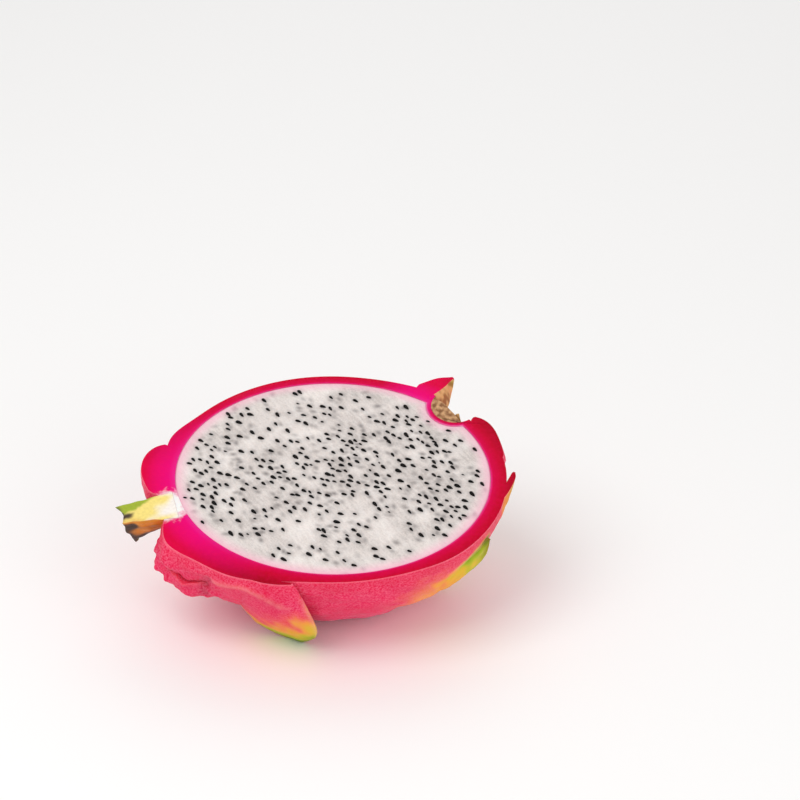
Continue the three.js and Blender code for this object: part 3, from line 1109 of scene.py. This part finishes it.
@dataclass
class NearScale:
    """Where each vertex lies on the scale that is nearest to it, and its distance from it.

    Facts are the share along the scale, the place across it, and 1 on its outer side or else 0.
    """

    away: Array
    owner: Array
    facts: Array

    @classmethod
    def find(
        cls, points: Array, shapes: list[ScaleShape], reach: float, hidden: float = 0.12,
    ) -> "NearScale":
        """Least |point − sample| over the samples of every scale within reach.

        Args:
            points: Face-frame vertices in millimetres.
            shapes: The scales.
            reach: Distance past which a scale doesn't matter.
            hidden: Share along a scale that lies under the skin and isn't sampled.

        Returns:
            Distances, numbers of the nearest scale, and rows of its sample's facts.
        """
        count = len(points)
        found = cls(np.full(count, np.inf), np.zeros(count, int), np.zeros((count, 3)))
        for number, shape in enumerate(shapes):
            spots, facts = shape.samples()
            shown = facts[:, 0] > hidden
            spots, facts = spots[shown], facts[shown]
            inside = (points > spots.min(0) - reach) & (points < spots.max(0) + reach)
            index = np.flatnonzero(inside.all(axis=1))
            close = points[index]
            squares = (close ** 2).sum(1)[:, None] - 2 * close @ spots.T + (spots ** 2).sum(1)
            best = squares.argmin(axis=1)
            gap = np.sqrt(np.maximum(np.take_along_axis(squares, best[:, None], 1)[:, 0], 0))
            closer = gap < found.away[index]
            index, best = index[closer], best[closer]
            found.away[index], found.owner[index] = gap[closer], number
            found.facts[index] = facts[best]
        return found


@dataclass(frozen=True)
class SkinColours:
    """sRGB colours of the skin and its scales, and of the light and shade painted on the skin.
    Stages say where each ripening colour stands.
    """

    ripening: tuple[str, ...] = ("#e81452", "#f04c4e", "#f4a244", "#dcc030", "#a6bc1c", "#84a212")
    stages: tuple[float, ...] = (0.0, 0.2, 0.38, 0.56, 0.78, 1.0)
    # Painted light: paler pink for light thrown up from the floor onto the lower body.
    floor_bounce_light: str = "#ff7aa2"
    by_rim: str = "#e4003c"
    blush: str = "#f6a440"
    # Painted highlight along the crest beside the front scale.
    crest: str = "#f8b09a"
    # Painted shade in the crease beside the front scale.
    crease: str = "#a80030"
    lip: str = "#ff8c9e"
    scale_edge: str = "#f0c08a"
    scale_inside: str = "#d9b65a"
    dry_tip: str = "#6b4a22"
    navel: tuple[str, str] = ("#9a6c3c", "#e0b074")


@dataclass
class Peel:
    """Skin and rind with all their scales, cut open and hollow. Sizes in millimetres.

    Around, down and the steps count the points of its surfaces. Crest and crease are lines over
    the skin beside the front scale, with their spreads in degrees: one for the shape, one for the
    colour, which is a painted highlight on the crest and painted shade in the crease. Dry from is
    the share along a scale at which its tip starts to brown.
    """

    around: int = 300
    down: int = 96
    cavity_down: int = 60
    hollow_steps: tuple[int, int] = (72, 48)
    lump: float = 0.22
    unevenness: float = 0.07
    crinkle: Swelling = Swelling(211, 15, 0.5, 14)
    crest: tuple[Bearing, ...] = ((228, 5.5), (238, 4), (246, 6), (254, 11))
    crest_height: float = 0.8
    crest_spread: tuple[float, float] = (1.6, 0.9)
    crease: tuple[Bearing, ...] = ((226, 6), (223, 11), (222, 17))
    crease_depth: float = 1.1
    crease_spread: tuple[float, float] = (2.0, 1.6)
    scale_reach: float = 2.2
    dry_from: float = 0.775
    colours: SkinColours = SkinColours()

    def build(self) -> Piece:
        """Joins the scales to the body, cuts the face, the table and the hollows, and dresses it.

        Returns:
            The finished peel.
        """
        body = grid_object("peel_skin", round_grid(self.bumpy_radius, self.around, self.down))
        ball = round_grid(
            lambda ways: np.full(ways.shape[:-1], HOLLOW_RADIUS), *self.hollow_steps, above=-89.0,
        )
        for points in (ball.rings, ball.start, ball.end):
            points += HOLLOW_MIDDLE
        combine(body, [grid_object("hollow", ball)], Change.CUT)
        shapes = [ScaleShape(scale) for scale in SCALES]
        scales = [grid_object(f"scale_{k}", shape.grid()) for k, shape in enumerate(shapes)]
        combine(body, scales, Change.JOIN)
        inside = round_grid(
            lambda ways: FLESH.dented_radius(ways, CUT_PLAY), self.around, self.cavity_down,
        )
        combine(body, [
            above_face(),
            below_table(),
            grid_object("cavity", inside),
            grid_object("socket", Stem().full_grid(SOCKET_PLAY)),
            grid_object("scar_socket", Scar().full_grid(SOCKET_PLAY)),
        ], Change.CUT)
        self.dress(body, shapes)
        return body

    def bumpy_radius(self, ways: Array) -> Array:
        """The skin's radius with low lumps that grow with the depth below the cut face.

        Args:
            ways: Unit vectors from the middle of the face.

        Returns:
            One radius for each way.
        """
        radius = skin_radius(ways)
        points = ways * radius[..., None]
        depth = smooth_step(0, 12, -points[..., 2])
        return radius + depth * self.lump * (waves(points, 16, 3) + 0.5 * waves(points, 6, 4))

    def dress(self, piece: Piece, shapes: list[ScaleShape]) -> None:
        """Gives the peel its two finishes, its colours, its crumples and its sharp cut edges.

        Args:
            piece: The cut peel.
            shapes: The scales on it.
        """
        mesh = piece.data
        mesh.materials.clear()
        for finish in (WaxySkin(), CutRind()):
            mesh.materials.append(finish.build())
        points = to_face(coordinates(mesh))
        self.colour(mesh, points, shapes)
        self.mark_cut(mesh)
        self.crumple(mesh, points)
        mesh.set_sharp_from_angle(angle=SHARP_ANGLE)

    @staticmethod
    def mark_cut(mesh: Mesh) -> None:
        """Puts the rind's finish on the faces in the cut plane and inside the cavity.

        Args:
            mesh: The peel's mesh.
        """
        centres = np.empty(len(mesh.polygons) * 3, np.float32)
        mesh.polygons.foreach_get("center", centres)
        centres = to_face(centres.reshape(-1, 3).astype(float))
        inner = FLESH.dented_radius(unit(centres), CUT_PLAY)
        cut = (centres[:, 2] > -CUT_PLAY) | (np.linalg.norm(centres, axis=1) < inner + SOLID_GAP)
        kinds = np.where(cut, Surface.CUT.value, Surface.SKIN.value)
        mesh.polygons.foreach_set("material_index", kinds.astype(np.int32))

    def crumple(self, mesh: Mesh, points: Array) -> None:
        """Moves the skin out and in by small waves, a crest and a crease.

        Most of it is by the shoulder under the stem. The move is along the way from the middle
        of the face, and fades out towards the face, the table and the cavity.

        Args:
            mesh: The peel's mesh.
            points: Its vertices in the face frame.
        """
        ways = unit(points)
        height = coordinates(mesh)[:, 2] / MM
        free = smooth_step(0.3, 3.5, -points[:, 2]) * smooth_step(0.3, 2.5, height)
        free *= smooth_step(0.8, 2.4, np.linalg.norm(points, axis=1) - FLESH.dented_radius(ways))
        amount = self.unevenness + swelling(ways, self.crinkle)
        move = amount * (waves(points, 5.5, 5) + 0.6 * waves(points, 2.6, 6))
        move += self.crest_height * line_nearness(ways, self.crest, self.crest_spread[0])
        move -= self.crease_depth * line_nearness(ways, self.crease, self.crease_spread[0])
        place_vertices(mesh, points + ways * (free * move)[:, None])

    @staticmethod
    def navel(points: Array) -> Array:
        """Share of tan in the skin that lines the flower's hollow."""
        away = np.linalg.norm(points - HOLLOW_MIDDLE - [1.5, 1.5, 0], axis=1)
        return 0.9 * (1 - smooth_step(8.5, 12.5, away + waves(points, 4, 12)))

    @staticmethod
    def blush(points: Array) -> Array:
        """Share of orange in the skin round the roots of the scales that are still green.

        Args:
            points: Face-frame vertices in millimetres.

        Returns:
            The largest bell-shaped share of any scale, a little uneven.
        """
        ways = unit(points)
        share = np.zeros(len(points))
        for scale in SCALES:
            strength = 1.2 * np.clip(0.35 - scale.ripe, 0, 0.4) / 0.4
            bell = Swelling(*scale.root, strength, 0.74 * scale.width)
            share = np.maximum(share, swelling(ways, bell))
        return np.clip(share + 0.06 * waves(points, 5, 9) * (share > 0.05), 0, 1)

    def colour(self, mesh: Mesh, points: Array, shapes: list[ScaleShape]) -> None:
        """Colours each vertex: coral body, and each scale from pink over orange to a green tip.

        The stage of ripening is (share along − onset) / (1 − onset), a little further at the edges
        of the scale, and fades into the body over two millimetres. The layers go on in order; they
        include painted light from the floor low on the body, a painted highlight along the crest
        and painted shade in the crease.

        Args:
            mesh: The peel's mesh, which gets the attributes "tint" and "pinkness".
            points: Its vertices in the face frame.
            shapes: The scales.
        """
        colours = self.colours
        near = NearScale.find(points, shapes, self.scale_reach)
        on_scale = 1 - smooth_step(0.2, self.scale_reach, near.away)
        share, across, outer = near.facts.T
        ripe = np.array([scale.ripe for scale in SCALES])[near.owner]
        dry = np.array([scale.dry for scale in SCALES])[near.owner]
        unripe = np.clip(1.6 * (1 - ripe), 0.12, 1) * on_scale
        rough = 0.08 * waves(points, 5, 8)
        onset = 0.12 + 0.62 * ripe
        sideways = 0.12 * np.abs(across) ** 3 * (1 - ripe)
        stage = (share - onset) / np.abs(1 - onset) + sideways + rough
        stage = np.clip(stage, 0, 1) * on_scale
        ramp = np.array([rgb(colour) for colour in colours.ripening])
        tint = np.stack([np.interp(stage, colours.stages, column) for column in ramp.T], 1)
        ways, depth = unit(points), -points[:, 2]
        edge = smooth_step(0.92, 1.0, np.abs(across)) * smooth_step(0.2, 0.5, share)
        inside = (1 - outer) * smooth_step(0.2, 0.5, share)
        dried = smooth_step(self.dry_from, 1.0, share + 0.1 * rough) * dry * on_scale
        layers = (
            # Painted light: paler pink low on the body, for light thrown up from the floor.
            (colours.floor_bounce_light, 0.8 * smooth_step(14, 38, depth) * (1 - on_scale)),
            (colours.by_rim, 0.7 * smooth_step(-9, -1, -depth) * (1 - stage)),
            (colours.blush, self.blush(points)),
            # Painted highlight: pale peach along the crest's top.
            (colours.crest, 0.4 * line_nearness(ways, self.crest, self.crest_spread[1])),
            # Painted shade: dark red along the crease.
            (colours.crease, 0.7 * line_nearness(ways, self.crease, self.crease_spread[1])),
            (colours.lip, 0.55 * smooth_step(-0.5, -0.02, -depth)),
            (colours.scale_edge, 0.5 * unripe * edge),
            (colours.scale_inside, 0.3 * unripe * inside),
            (colours.dry_tip, dried),
        )
        for colour, amount in layers:
            tint = mix(tint, rgb(colour), amount[:, None])
        navel = self.navel(points)
        fibre = np.clip(0.5 + 0.7 * waves(points * [1.0, 1.0, 0.35], 1.8, 14), 0, 1)[:, None]
        tint = mix(tint, mix(*map(rgb, colours.navel), fibre), navel[:, None])
        store(mesh, "tint", tint)
        store(mesh, "pinkness", (1 - smooth_step(0.1, 0.45, stage)) * (1 - navel))


@dataclass
class Seeds:
    """Black seeds in the cut face, in the places of the part's source and in between.

    Sizes are in millimetres and turns in degrees. Clusters and the bare patch are u, v and reach.
    Least is the chance of a place away from the clusters. The seeds past the solids' own count
    are the late ones: their spacing and margin are the given shares of the others', and their
    least chance is lower.
    """

    count: int = 370
    solid_count: int = 240
    length: float = 2.3
    width: float = 1.08
    height: float = 1.3
    spacing: float = 2.4
    margin: float = 3.4
    least: float = 0.35
    late_spacing: float = 0.62
    late_margin: float = 0.5
    late_least: float = 0.1
    cluster_gain: float = 0.65
    bare_loss: float = 0.7
    sizes: tuple[float, float] = (0.76, 1.06)
    deepest: float = 0.35
    stations: tuple[float, ...] = (-0.86, -0.5, 0.0, 0.45, 0.82)
    sides: int = 8
    turn: float = -38
    spread: float = 44
    clusters: tuple[Point, ...] = ((1, 6, 13), (24, 17, 10), (36, -11, 9), (-38, -3, 8))
    bare: Point = (17, -26, 10)

    @staticmethod
    def nearness(u: float, v: float, spot: Point) -> float:
        """Share that falls off as exp(−distance² / reach²) round a spot."""
        return float(np.exp(-((u - spot[0]) ** 2 + (v - spot[1]) ** 2) / spot[2] ** 2))

    def places(self) -> Array:
        """Draws places in the flesh and keeps them by the rule of the part's source.

        A place is kept where it is clear of the rind, of the hollow and of other seeds, and then
        with a chance of (least + gain × nearness to a cluster) × (1 − loss × nearness to the bare
        patch).

        Returns:
            Rows of u, v and the turn in radians.
        """
        draws = Draws()
        rows: list[Point] = []
        while len(rows) < self.count:
            u = FLESH.long * (2 * draws.next() - 1)
            v = FLESH.short * (2 * draws.next() - 1)
            chance = draws.next()
            turn = radians(self.turn + self.spread * (draws.next() - 0.5))
            late = len(rows) >= self.solid_count
            margin = self.margin * (self.late_margin if late else 1)
            spacing = self.spacing * (self.late_spacing if late else 1)
            reach = float(np.hypot(u, v))
            from_hollow = np.hypot(u - HOLLOW_MIDDLE[0], v - HOLLOW_MIDDLE[1])
            if reach >= float(FLESH.radius(np.array([u, v, 0]) / reach)) - margin:
                continue
            if from_hollow <= HOLLOW_RADIUS + HOLLOW_LINING + margin:
                continue
            if any(np.hypot(a - u, b - v) <= spacing for a, b, _ in rows):
                continue
            crowding = max(self.nearness(u, v, spot) for spot in self.clusters)
            least = self.late_least if late else self.least
            thinning = 1 - self.bare_loss * self.nearness(u, v, self.bare)
            if chance < (least + self.cluster_gain * crowding) * thinning:
                rows.append((u, v, turn))
        return np.array(rows)

    def build(self) -> Piece:
        """One mesh of all seeds: small drops, each with its middle at the face or just under it.

        Along a drop x runs from −1 to 1, and its radius is √(1 − x²) × (1 − 0.35 x) for a blunt
        end and a pointed one.

        Returns:
            The finished seeds.
        """
        rng = np.random.default_rng(11)
        places = self.places()
        x = np.array(self.stations)[:, None]
        turns = np.arange(self.sides) * 2 * np.pi / self.sides
        radius = np.sqrt(1 - x ** 2) * (1 - 0.35 * x)
        shape = np.stack(np.broadcast_arrays(x, radius * np.cos(turns), radius * np.sin(turns)), -1)
        quads, fans = Grid(shape, np.zeros(3), np.zeros(3)).faces()
        shape = np.concatenate([shape.reshape(-1, 3), [[-1, 0, 0], [1, 0, 0]]])
        sizes = rng.uniform(*self.sizes, len(places))
        half = sizes[:, None] * [self.length, self.width, self.height] / 2
        local = shape[None] * half[:, None]
        cos, sin = np.cos(places[:, 2])[:, None], np.sin(places[:, 2])[:, None]
        u = places[:, 0, None] + local[..., 0] * cos - local[..., 1] * sin
        v = places[:, 1, None] + local[..., 0] * sin + local[..., 1] * cos
        h = local[..., 2] - rng.uniform(0.0, self.deepest, len(places))[:, None]
        points = np.stack([u, v, h], -1).reshape(-1, 3)
        first = (np.arange(len(places)) * len(shape))[:, None, None]
        quads, fans = (quads + first).reshape(-1, 4), (fans + first).reshape(-1, 3)
        piece = mesh_object("seeds", points, quads, fans)
        piece.data.materials.append(SeedCoat().build())
        return piece


@dataclass
class FleshPiece:
    """White flesh with its cut face, and the shadows of the seeds that lie under it.

    Around, rings and under count the points of its surface. Buried is the number of seeds under
    the face, scatter how far they lie from those in it, and drop the half length and half width
    of their shadows. Sizes are in millimetres, the halo's area in square ones, and turns in
    radians.
    """

    around: int = 420
    rings: int = 130
    under: int = 24
    buried: int = 420
    buried_strength: tuple[float, float] = (0.15, 0.85)
    buried_turn: tuple[float, float] = (-1.4, 0.2)
    scatter: float = 2.2
    drop: tuple[float, float] = (1.2, 0.75)
    halo_strength: float = 0.45
    halo_area: float = 1.7
    wave_height: float = 0.05
    wave_length: float = 4.0
    rim_drop: float = 0.18
    rim_width: float = 0.35

    def build(self, seeds: Array) -> Piece:
        """Closed surface: the face from its middle out, a soft edge, and the underside.

        In the face a point is way × radius × share. Its height is a low wave, less a rounded rim
        of drop × exp(−distance to the rim / width).

        Args:
            seeds: Places of the seeds.

        Returns:
            The finished flesh.
        """
        turns = np.arange(self.around) * 360 / self.around
        flat = direction(turns, 0.0)
        radius = FLESH.dented_radius(flat)
        shares = np.linspace(0, 1, self.rings)[1:]
        face = flat[None] * (radius * shares[:, None])[..., None]
        inside = radius * (1 - shares[:, None])
        swell = self.wave_height * waves(face, self.wave_length, 21)
        face[..., 2] = swell * smooth_step(0.3, 2, inside)
        face[..., 2] -= self.rim_drop * np.exp(-inside / self.rim_width)
        downs = np.linspace(0, 90, self.under + 1)[1:-1]
        ways = direction(turns[None, :], downs[:, None])
        lower = ways * FLESH.dented_radius(ways)[..., None]
        pole = direction(0, 90)
        grid = Grid(np.concatenate([face, lower]), np.zeros(3), pole * FLESH.radius(pole))
        piece = grid_object("white_flesh", grid)
        self.dress(piece, seeds)
        return piece

    def dress(self, piece: Piece, seeds: Array) -> None:
        """Stores the grey shadows: soft drops of random depth, and a thin halo round each seed.

        A drop is strength × exp(−(along / half length)² − (across / half width)²), and a halo is
        strength × exp(−distance² / area).

        Args:
            piece: The flesh, which gets the attribute "shadow".
            seeds: Places of the seeds.
        """
        rng = np.random.default_rng(5)
        u, v, h = to_face(coordinates(piece.data)).T
        owners = rng.choice(len(seeds), self.buried)
        places = seeds[owners, :2] + rng.normal(0, self.scatter, (self.buried, 2))
        strengths = rng.uniform(*self.buried_strength, self.buried)
        turns = rng.uniform(*self.buried_turn, self.buried)
        shadow = np.zeros(len(u))
        for (middle_u, middle_v), strength, turn in zip(places, strengths, turns):
            du, dv = u - middle_u, v - middle_v
            along = du * np.cos(turn) + dv * np.sin(turn)
            across = dv * np.cos(turn) - du * np.sin(turn)
            drop = np.exp(-((along / self.drop[0]) ** 2 + (across / self.drop[1]) ** 2))
            shadow = np.maximum(shadow, strength * drop)
        for middle_u, middle_v, _ in seeds:
            halo = np.exp(-((u - middle_u) ** 2 + (v - middle_v) ** 2) / self.halo_area)
            shadow = np.maximum(shadow, self.halo_strength * halo)
        store(piece.data, "shadow", shadow * (h > -1.0))
        piece.data.materials.append(WhiteFlesh().build())


@dataclass
class Stem:
    """Stub of the cactus stem, cut lengthwise. Sizes in millimetres.

    Half width and depth are at the inner and at the outer end. Tear is the depth of the teeth of
    the torn end, torn from the share along at which they start, and slant how far that end draws
    back with depth.
    """

    inner: Point = (-46.6, -12.2, 0.0)
    outer: Point = (-63.8, -16.4, 0.0)
    half_width: tuple[float, float] = (5.9, 3.6)
    depth: tuple[float, float] = (6.2, 12.6)
    rib: float = 0.09
    tear: float = 1.5
    teeth: int = 7
    torn_from: float = 0.93
    slant: float = 0.4
    bark: float = 0.12
    green: str = "#9fb01c"
    cream: str = "#f8e07c"
    white: str = "#fbf2ea"
    orange: str = "#d98714"
    brown: str = "#3a2412"

    def ring_points(self, shares: Array, turns: Array, grow: float) -> Array:
        """Ribbed sections along the stem.

        Radius = 1 − rib + rib × cos 3(turn − 90°), stretched to the half width across and to the
        depth downwards. The outer end draws back with depth and is torn.

        Args:
            shares: Places along the stem, from 0 to 1.
            turns: Angles round a section in radians.
            grow: Margin all round, for the socket.

        Returns:
            One ring of face-frame points for each share.
        """
        inner, outer = np.array(self.inner), np.array(self.outer)
        along = unit(outer - inner)
        side = np.array([-along[1], along[0], 0])
        inner, outer = inner - along * grow, outer + along * grow
        t = shares[:, None]
        ribbed = 1 - self.rib + self.rib * np.cos(3 * (turns - np.pi / 2))
        reach = (mix(*self.half_width, t) + grow) * ribbed * np.cos(turns)
        drop = (mix(*self.depth, t) + grow) * ribbed * np.sin(turns)
        points = inner + (outer - inner) * t[..., None] + side * reach[..., None]
        saw = 0.5 + 0.5 * np.sin(self.teeth * turns + 1)
        torn = self.tear * saw * smooth_step(self.torn_from, 1.0, t)
        points = points - along * (torn + self.slant * t ** 4 * np.maximum(0, drop))[..., None]
        points[..., 2] -= drop
        return points

    def full_grid(self, grow: float, around: int = 64, along: int = 24, bark: float = 0.0) -> Grid:
        """The whole round stem.

        Args:
            grow: Margin all round, for the socket.
            around: Points round a section.
            along: Sections along the stem.
            bark: Height of the small waves of its surface.

        Returns:
            Closed grid.
        """
        turns = np.arange(around) * 2 * np.pi / around
        rings = self.ring_points(np.linspace(0, 1, along), turns, grow)
        rings += bark * waves(rings, 3, 31)[..., None] * unit(rings - rings.mean(1, keepdims=True))
        return Grid(rings, rings[0].mean(0), rings[-1].mean(0))

    def build(self) -> Piece:
        """Cuts the round stem by the face and colours it.

        Returns:
            The finished stub.
        """
        piece = grid_object("stem_stub", self.full_grid(0.0, around=128, along=90, bark=self.bark))
        combine(piece, [above_face()], Change.CUT)
        split_long_edges(piece)
        self.dress(piece)
        return piece

    def dress(self, piece: Piece) -> None:
        """Green skin, cream cut tissue that whitens inwards, orange under it and a brown torn end.

        Args:
            piece: The cut stub, which gets the attribute "tint".
        """
        mesh = piece.data
        points = to_face(coordinates(mesh))
        inner, outer = np.array(self.inner), np.array(self.outer)
        along = unit(outer - inner)
        share = (points - inner) @ along / np.linalg.norm(outer - inner)
        reach = (points - inner) @ np.array([-along[1], along[0], 0]) / mix(*self.half_width, share)
        depth = -points[:, 2]
        wobble = 0.1 * waves(points, 4, 33)
        green, orange, brown = rgb(self.green), rgb(self.orange), rgb(self.brown)
        cut = mix(rgb(self.white), rgb(self.cream), smooth_step(0.02, 0.4, share + wobble)[:, None])
        low_edge = 0.8 * smooth_step(0.55, 1.0, reach + wobble) * smooth_step(0.3, 0.6, share)
        cut = mix(cut, orange, low_edge[:, None])
        border = mix(-0.95, 0.15, smooth_step(0.2, 1.0, share))
        cut = mix(cut, green, smooth_step(0.08, -0.08, reach - border + 0.7 * wobble)[:, None])
        skin = mix(orange, brown, smooth_step(4.0, 9.5, depth + 14 * wobble)[:, None])
        skin = mix(skin, green, smooth_step(0.1, -0.3, reach + wobble)[:, None])
        tint = np.where((depth < 0.05)[:, None], cut, skin)
        torn = smooth_step(0.84, 0.95, share + 0.7 * wobble + 0.016 * depth)
        store(mesh, "tint", mix(tint, brown, torn[:, None]))
        finish = TintedTissue("cactus_stem", fibre=0.9, roughness=0.5, streak=0.25)
        mesh.materials.clear()
        mesh.materials.append(finish.build())
        mesh.set_sharp_from_angle(angle=SHARP_ANGLE)


@dataclass
class Scar:
    """Dried base of the flower in the bottom of its hollow. Sizes in millimetres.

    Swell is how far its surface is grown past the solid's, so that it meets the rind.
    """

    level: float = 44.6
    crown: float = 0.6
    ridge: float = 0.7
    ridges: int = 7
    around: int = 112
    steps: int = 16
    swell: float = 0.2
    fibre_height: float = 0.25
    groove: str = "#8a5a34"
    tan: str = "#d9a878"

    def full_grid(self, grow: float, fine: float = 0.0) -> Grid:
        """Ridged plug: a ball's bottom below its rim, and a low crown with radial ridges above.

        Height on top = level + crown × (1 − 2 share⁴) + ridge × share × cos(ridges × turn), and
        fine × share × (sin(23 turn + 6 share) + sin 41 turn) for its fibres.

        Args:
            grow: Margin all round.
            fine: Height of the fibres.

        Returns:
            Closed grid of the whole plug.
        """
        along = unit(HOLLOW_MIDDLE)
        side = np.array([-along[1], along[0], 0])
        radius = HOLLOW_RADIUS - SOLID_GAP + grow
        distance = float(np.linalg.norm(HOLLOW_MIDDLE))
        rim = np.arccos((distance - self.level) / radius)
        turns = np.arange(self.around) * 2 * np.pi / self.around
        angles = (rim * np.linspace(0.06, 1, self.steps))[:, None]
        bottom = (radius * np.sin(angles), distance - grow - radius * np.cos(angles), turns)
        shares = np.linspace(0.97, 0.05, self.steps)[:, None]
        height = self.level + grow + self.crown * (1 - 2 * shares ** 4)
        height = height + self.ridge * shares * np.cos(self.ridges * turns)
        height = height + fine * (np.sin(23 * turns + 6 * shares) + np.sin(41 * turns)) * shares
        top = (radius * np.sin(rim) * shares, height, turns)
        rows = np.concatenate([np.stack(np.broadcast_arrays(*half), -1) for half in (bottom, top)])
        reach, level, turn = np.moveaxis(rows, -1, 0)
        rings = along * level[..., None] + side * (reach * np.cos(turn))[..., None]
        rings[..., 2] += reach * np.sin(turn)
        lowest, highest = distance - grow - radius, self.level + self.crown + grow
        return Grid(rings, along * lowest, along * highest)

    def build(self) -> Piece:
        """Cuts the plug by the face and colours it tan with darker grooves.

        Returns:
            The finished base of the flower.
        """
        piece = grid_object("dried_flower_base", self.full_grid(self.swell, self.fibre_height))
        combine(piece, [above_face()], Change.CUT)
        split_long_edges(piece)
        mesh = piece.data
        points = to_face(coordinates(mesh))
        shade = np.clip(0.5 + 0.5 * waves(points * [1.0, 1.0, 0.4], 1.6, 41), 0, 1)
        store(mesh, "tint", mix(rgb(self.groove), rgb(self.tan), shade[:, None]))
        finish = TintedTissue("dried_flower_fibres", fibre=0.6, roughness=0.85, depth=0.0004)
        mesh.materials.clear()
        mesh.materials.append(finish.build())
        mesh.set_sharp_from_angle(angle=SHARP_ANGLE)
        return piece


@dataclass(frozen=True)
class SoftLight:
    """Square light that looks at the fruit, in metres and watts."""

    name: str
    place: Point
    size: float
    power: float
    target: Point = (0, 0, 0.02)

    def build(self) -> None:
        """Places the light and turns it to its target."""
        data = bpy.data.lights.new(self.name, "AREA")
        data.size = self.size
        data.energy = self.power
        light = bpy.data.objects.new(self.name, data)
        light.location = self.place
        look = Vector(self.target) - Vector(self.place)
        light.rotation_euler = look.to_track_quat("-Z", "Y").to_euler()
        bpy.context.scene.collection.objects.link(light)


@dataclass(frozen=True)
class Studio:
    """Camera at the photograph's angle, pale floor and soft light. Lengths in metres."""

    elevation: float = radians(28)
    distance: float = 0.85
    view_width: float = 0.24
    face_pixel: tuple[float, float] = (333.0, 475.5)
    frame_pixels: float = 800.0
    sensor: float = 36.0
    floor_side: float = 4.0
    sky: float = 0.6
    lights: tuple[SoftLight, ...] = (
        SoftLight("key", (-0.45, -0.35, 0.85), 0.7, 4.0),
        SoftLight("fill", (0.6, -0.8, 0.45), 0.9, 3.0),
        SoftLight("back", (0.1, 0.8, 0.7), 0.7, 1.2),
    )

    def build(self) -> None:
        """Places the camera, the floor, the lights and a bright world."""
        self.camera()
        self.floor()
        for light in self.lights:
            light.build()
        world = bpy.data.worlds.new("studio")
        world.use_nodes = True
        background = world.node_tree.nodes["Background"]
        background.inputs["Color"].default_value = (1, 1, 1, 1)
        background.inputs["Strength"].default_value = self.sky
        bpy.context.scene.world = world
        bpy.context.scene.view_settings.view_transform = "Standard"

    def camera(self) -> None:
        """Aims so that the middle of the cut face lands on its pixel of the photograph."""
        sin, cos = np.sin(self.elevation), np.cos(self.elevation)
        forward, up = np.array([0, cos, -sin]), np.array([0, sin, cos])
        pixel = self.view_width / self.frame_pixels
        right_shift = (self.frame_pixels / 2 - self.face_pixel[0]) * pixel
        up_shift = (self.face_pixel[1] - self.frame_pixels / 2) * pixel
        aim = FACE_PLACE * MM + right_shift * np.array([1, 0, 0]) + up_shift * up
        data = bpy.data.cameras.new("camera")
        data.sensor_width = self.sensor
        data.lens = self.sensor * self.distance / self.view_width
        data.clip_start = 0.01
        camera = bpy.data.objects.new("camera", data)
        camera.location = aim - forward * self.distance
        camera.rotation_euler = (np.pi / 2 - self.elevation, 0, 0)
        bpy.context.scene.collection.objects.link(camera)
        bpy.context.scene.camera = camera

    def floor(self) -> None:
        """Lays a large pale sheet under the fruit."""
        mesh = bpy.data.meshes.new("floor")
        side = self.floor_side
        corners = [(-side, -side, 0), (side, -side, 0), (side, side, 0), (-side, side, 0)]
        mesh.from_pydata(corners, [], [(0, 1, 2, 3)])
        mesh.materials.append(PaperSweep().build())
        floor = bpy.data.objects.new("floor", mesh)
        bpy.context.scene.collection.objects.link(floor)


def main() -> None:
    """Builds the studio and the fruit, puts each piece under the root body and hides the imported
    parts that they stand for.
    """
    logging.basicConfig(level=logging.INFO, format="%(name)s: %(message)s")
    Studio().build()
    seeds = Seeds()
    pieces = {
        "peel": Peel().build(),
        "flesh": FleshPiece().build(seeds.places()),
        "stalk": Stem().build(),
        "flower_scar": Scar().build(),
    }
    for node, piece in pieces.items():
        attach(piece, "root")
        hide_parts(node)
        LOG.info("%s: %d faces", piece.name, len(piece.data.polygons))
    seed_piece = seeds.build()
    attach(seed_piece, "root")
    LOG.info("%s: %d faces", seed_piece.name, len(seed_piece.data.polygons))


if __name__ == "__main__":
    main()
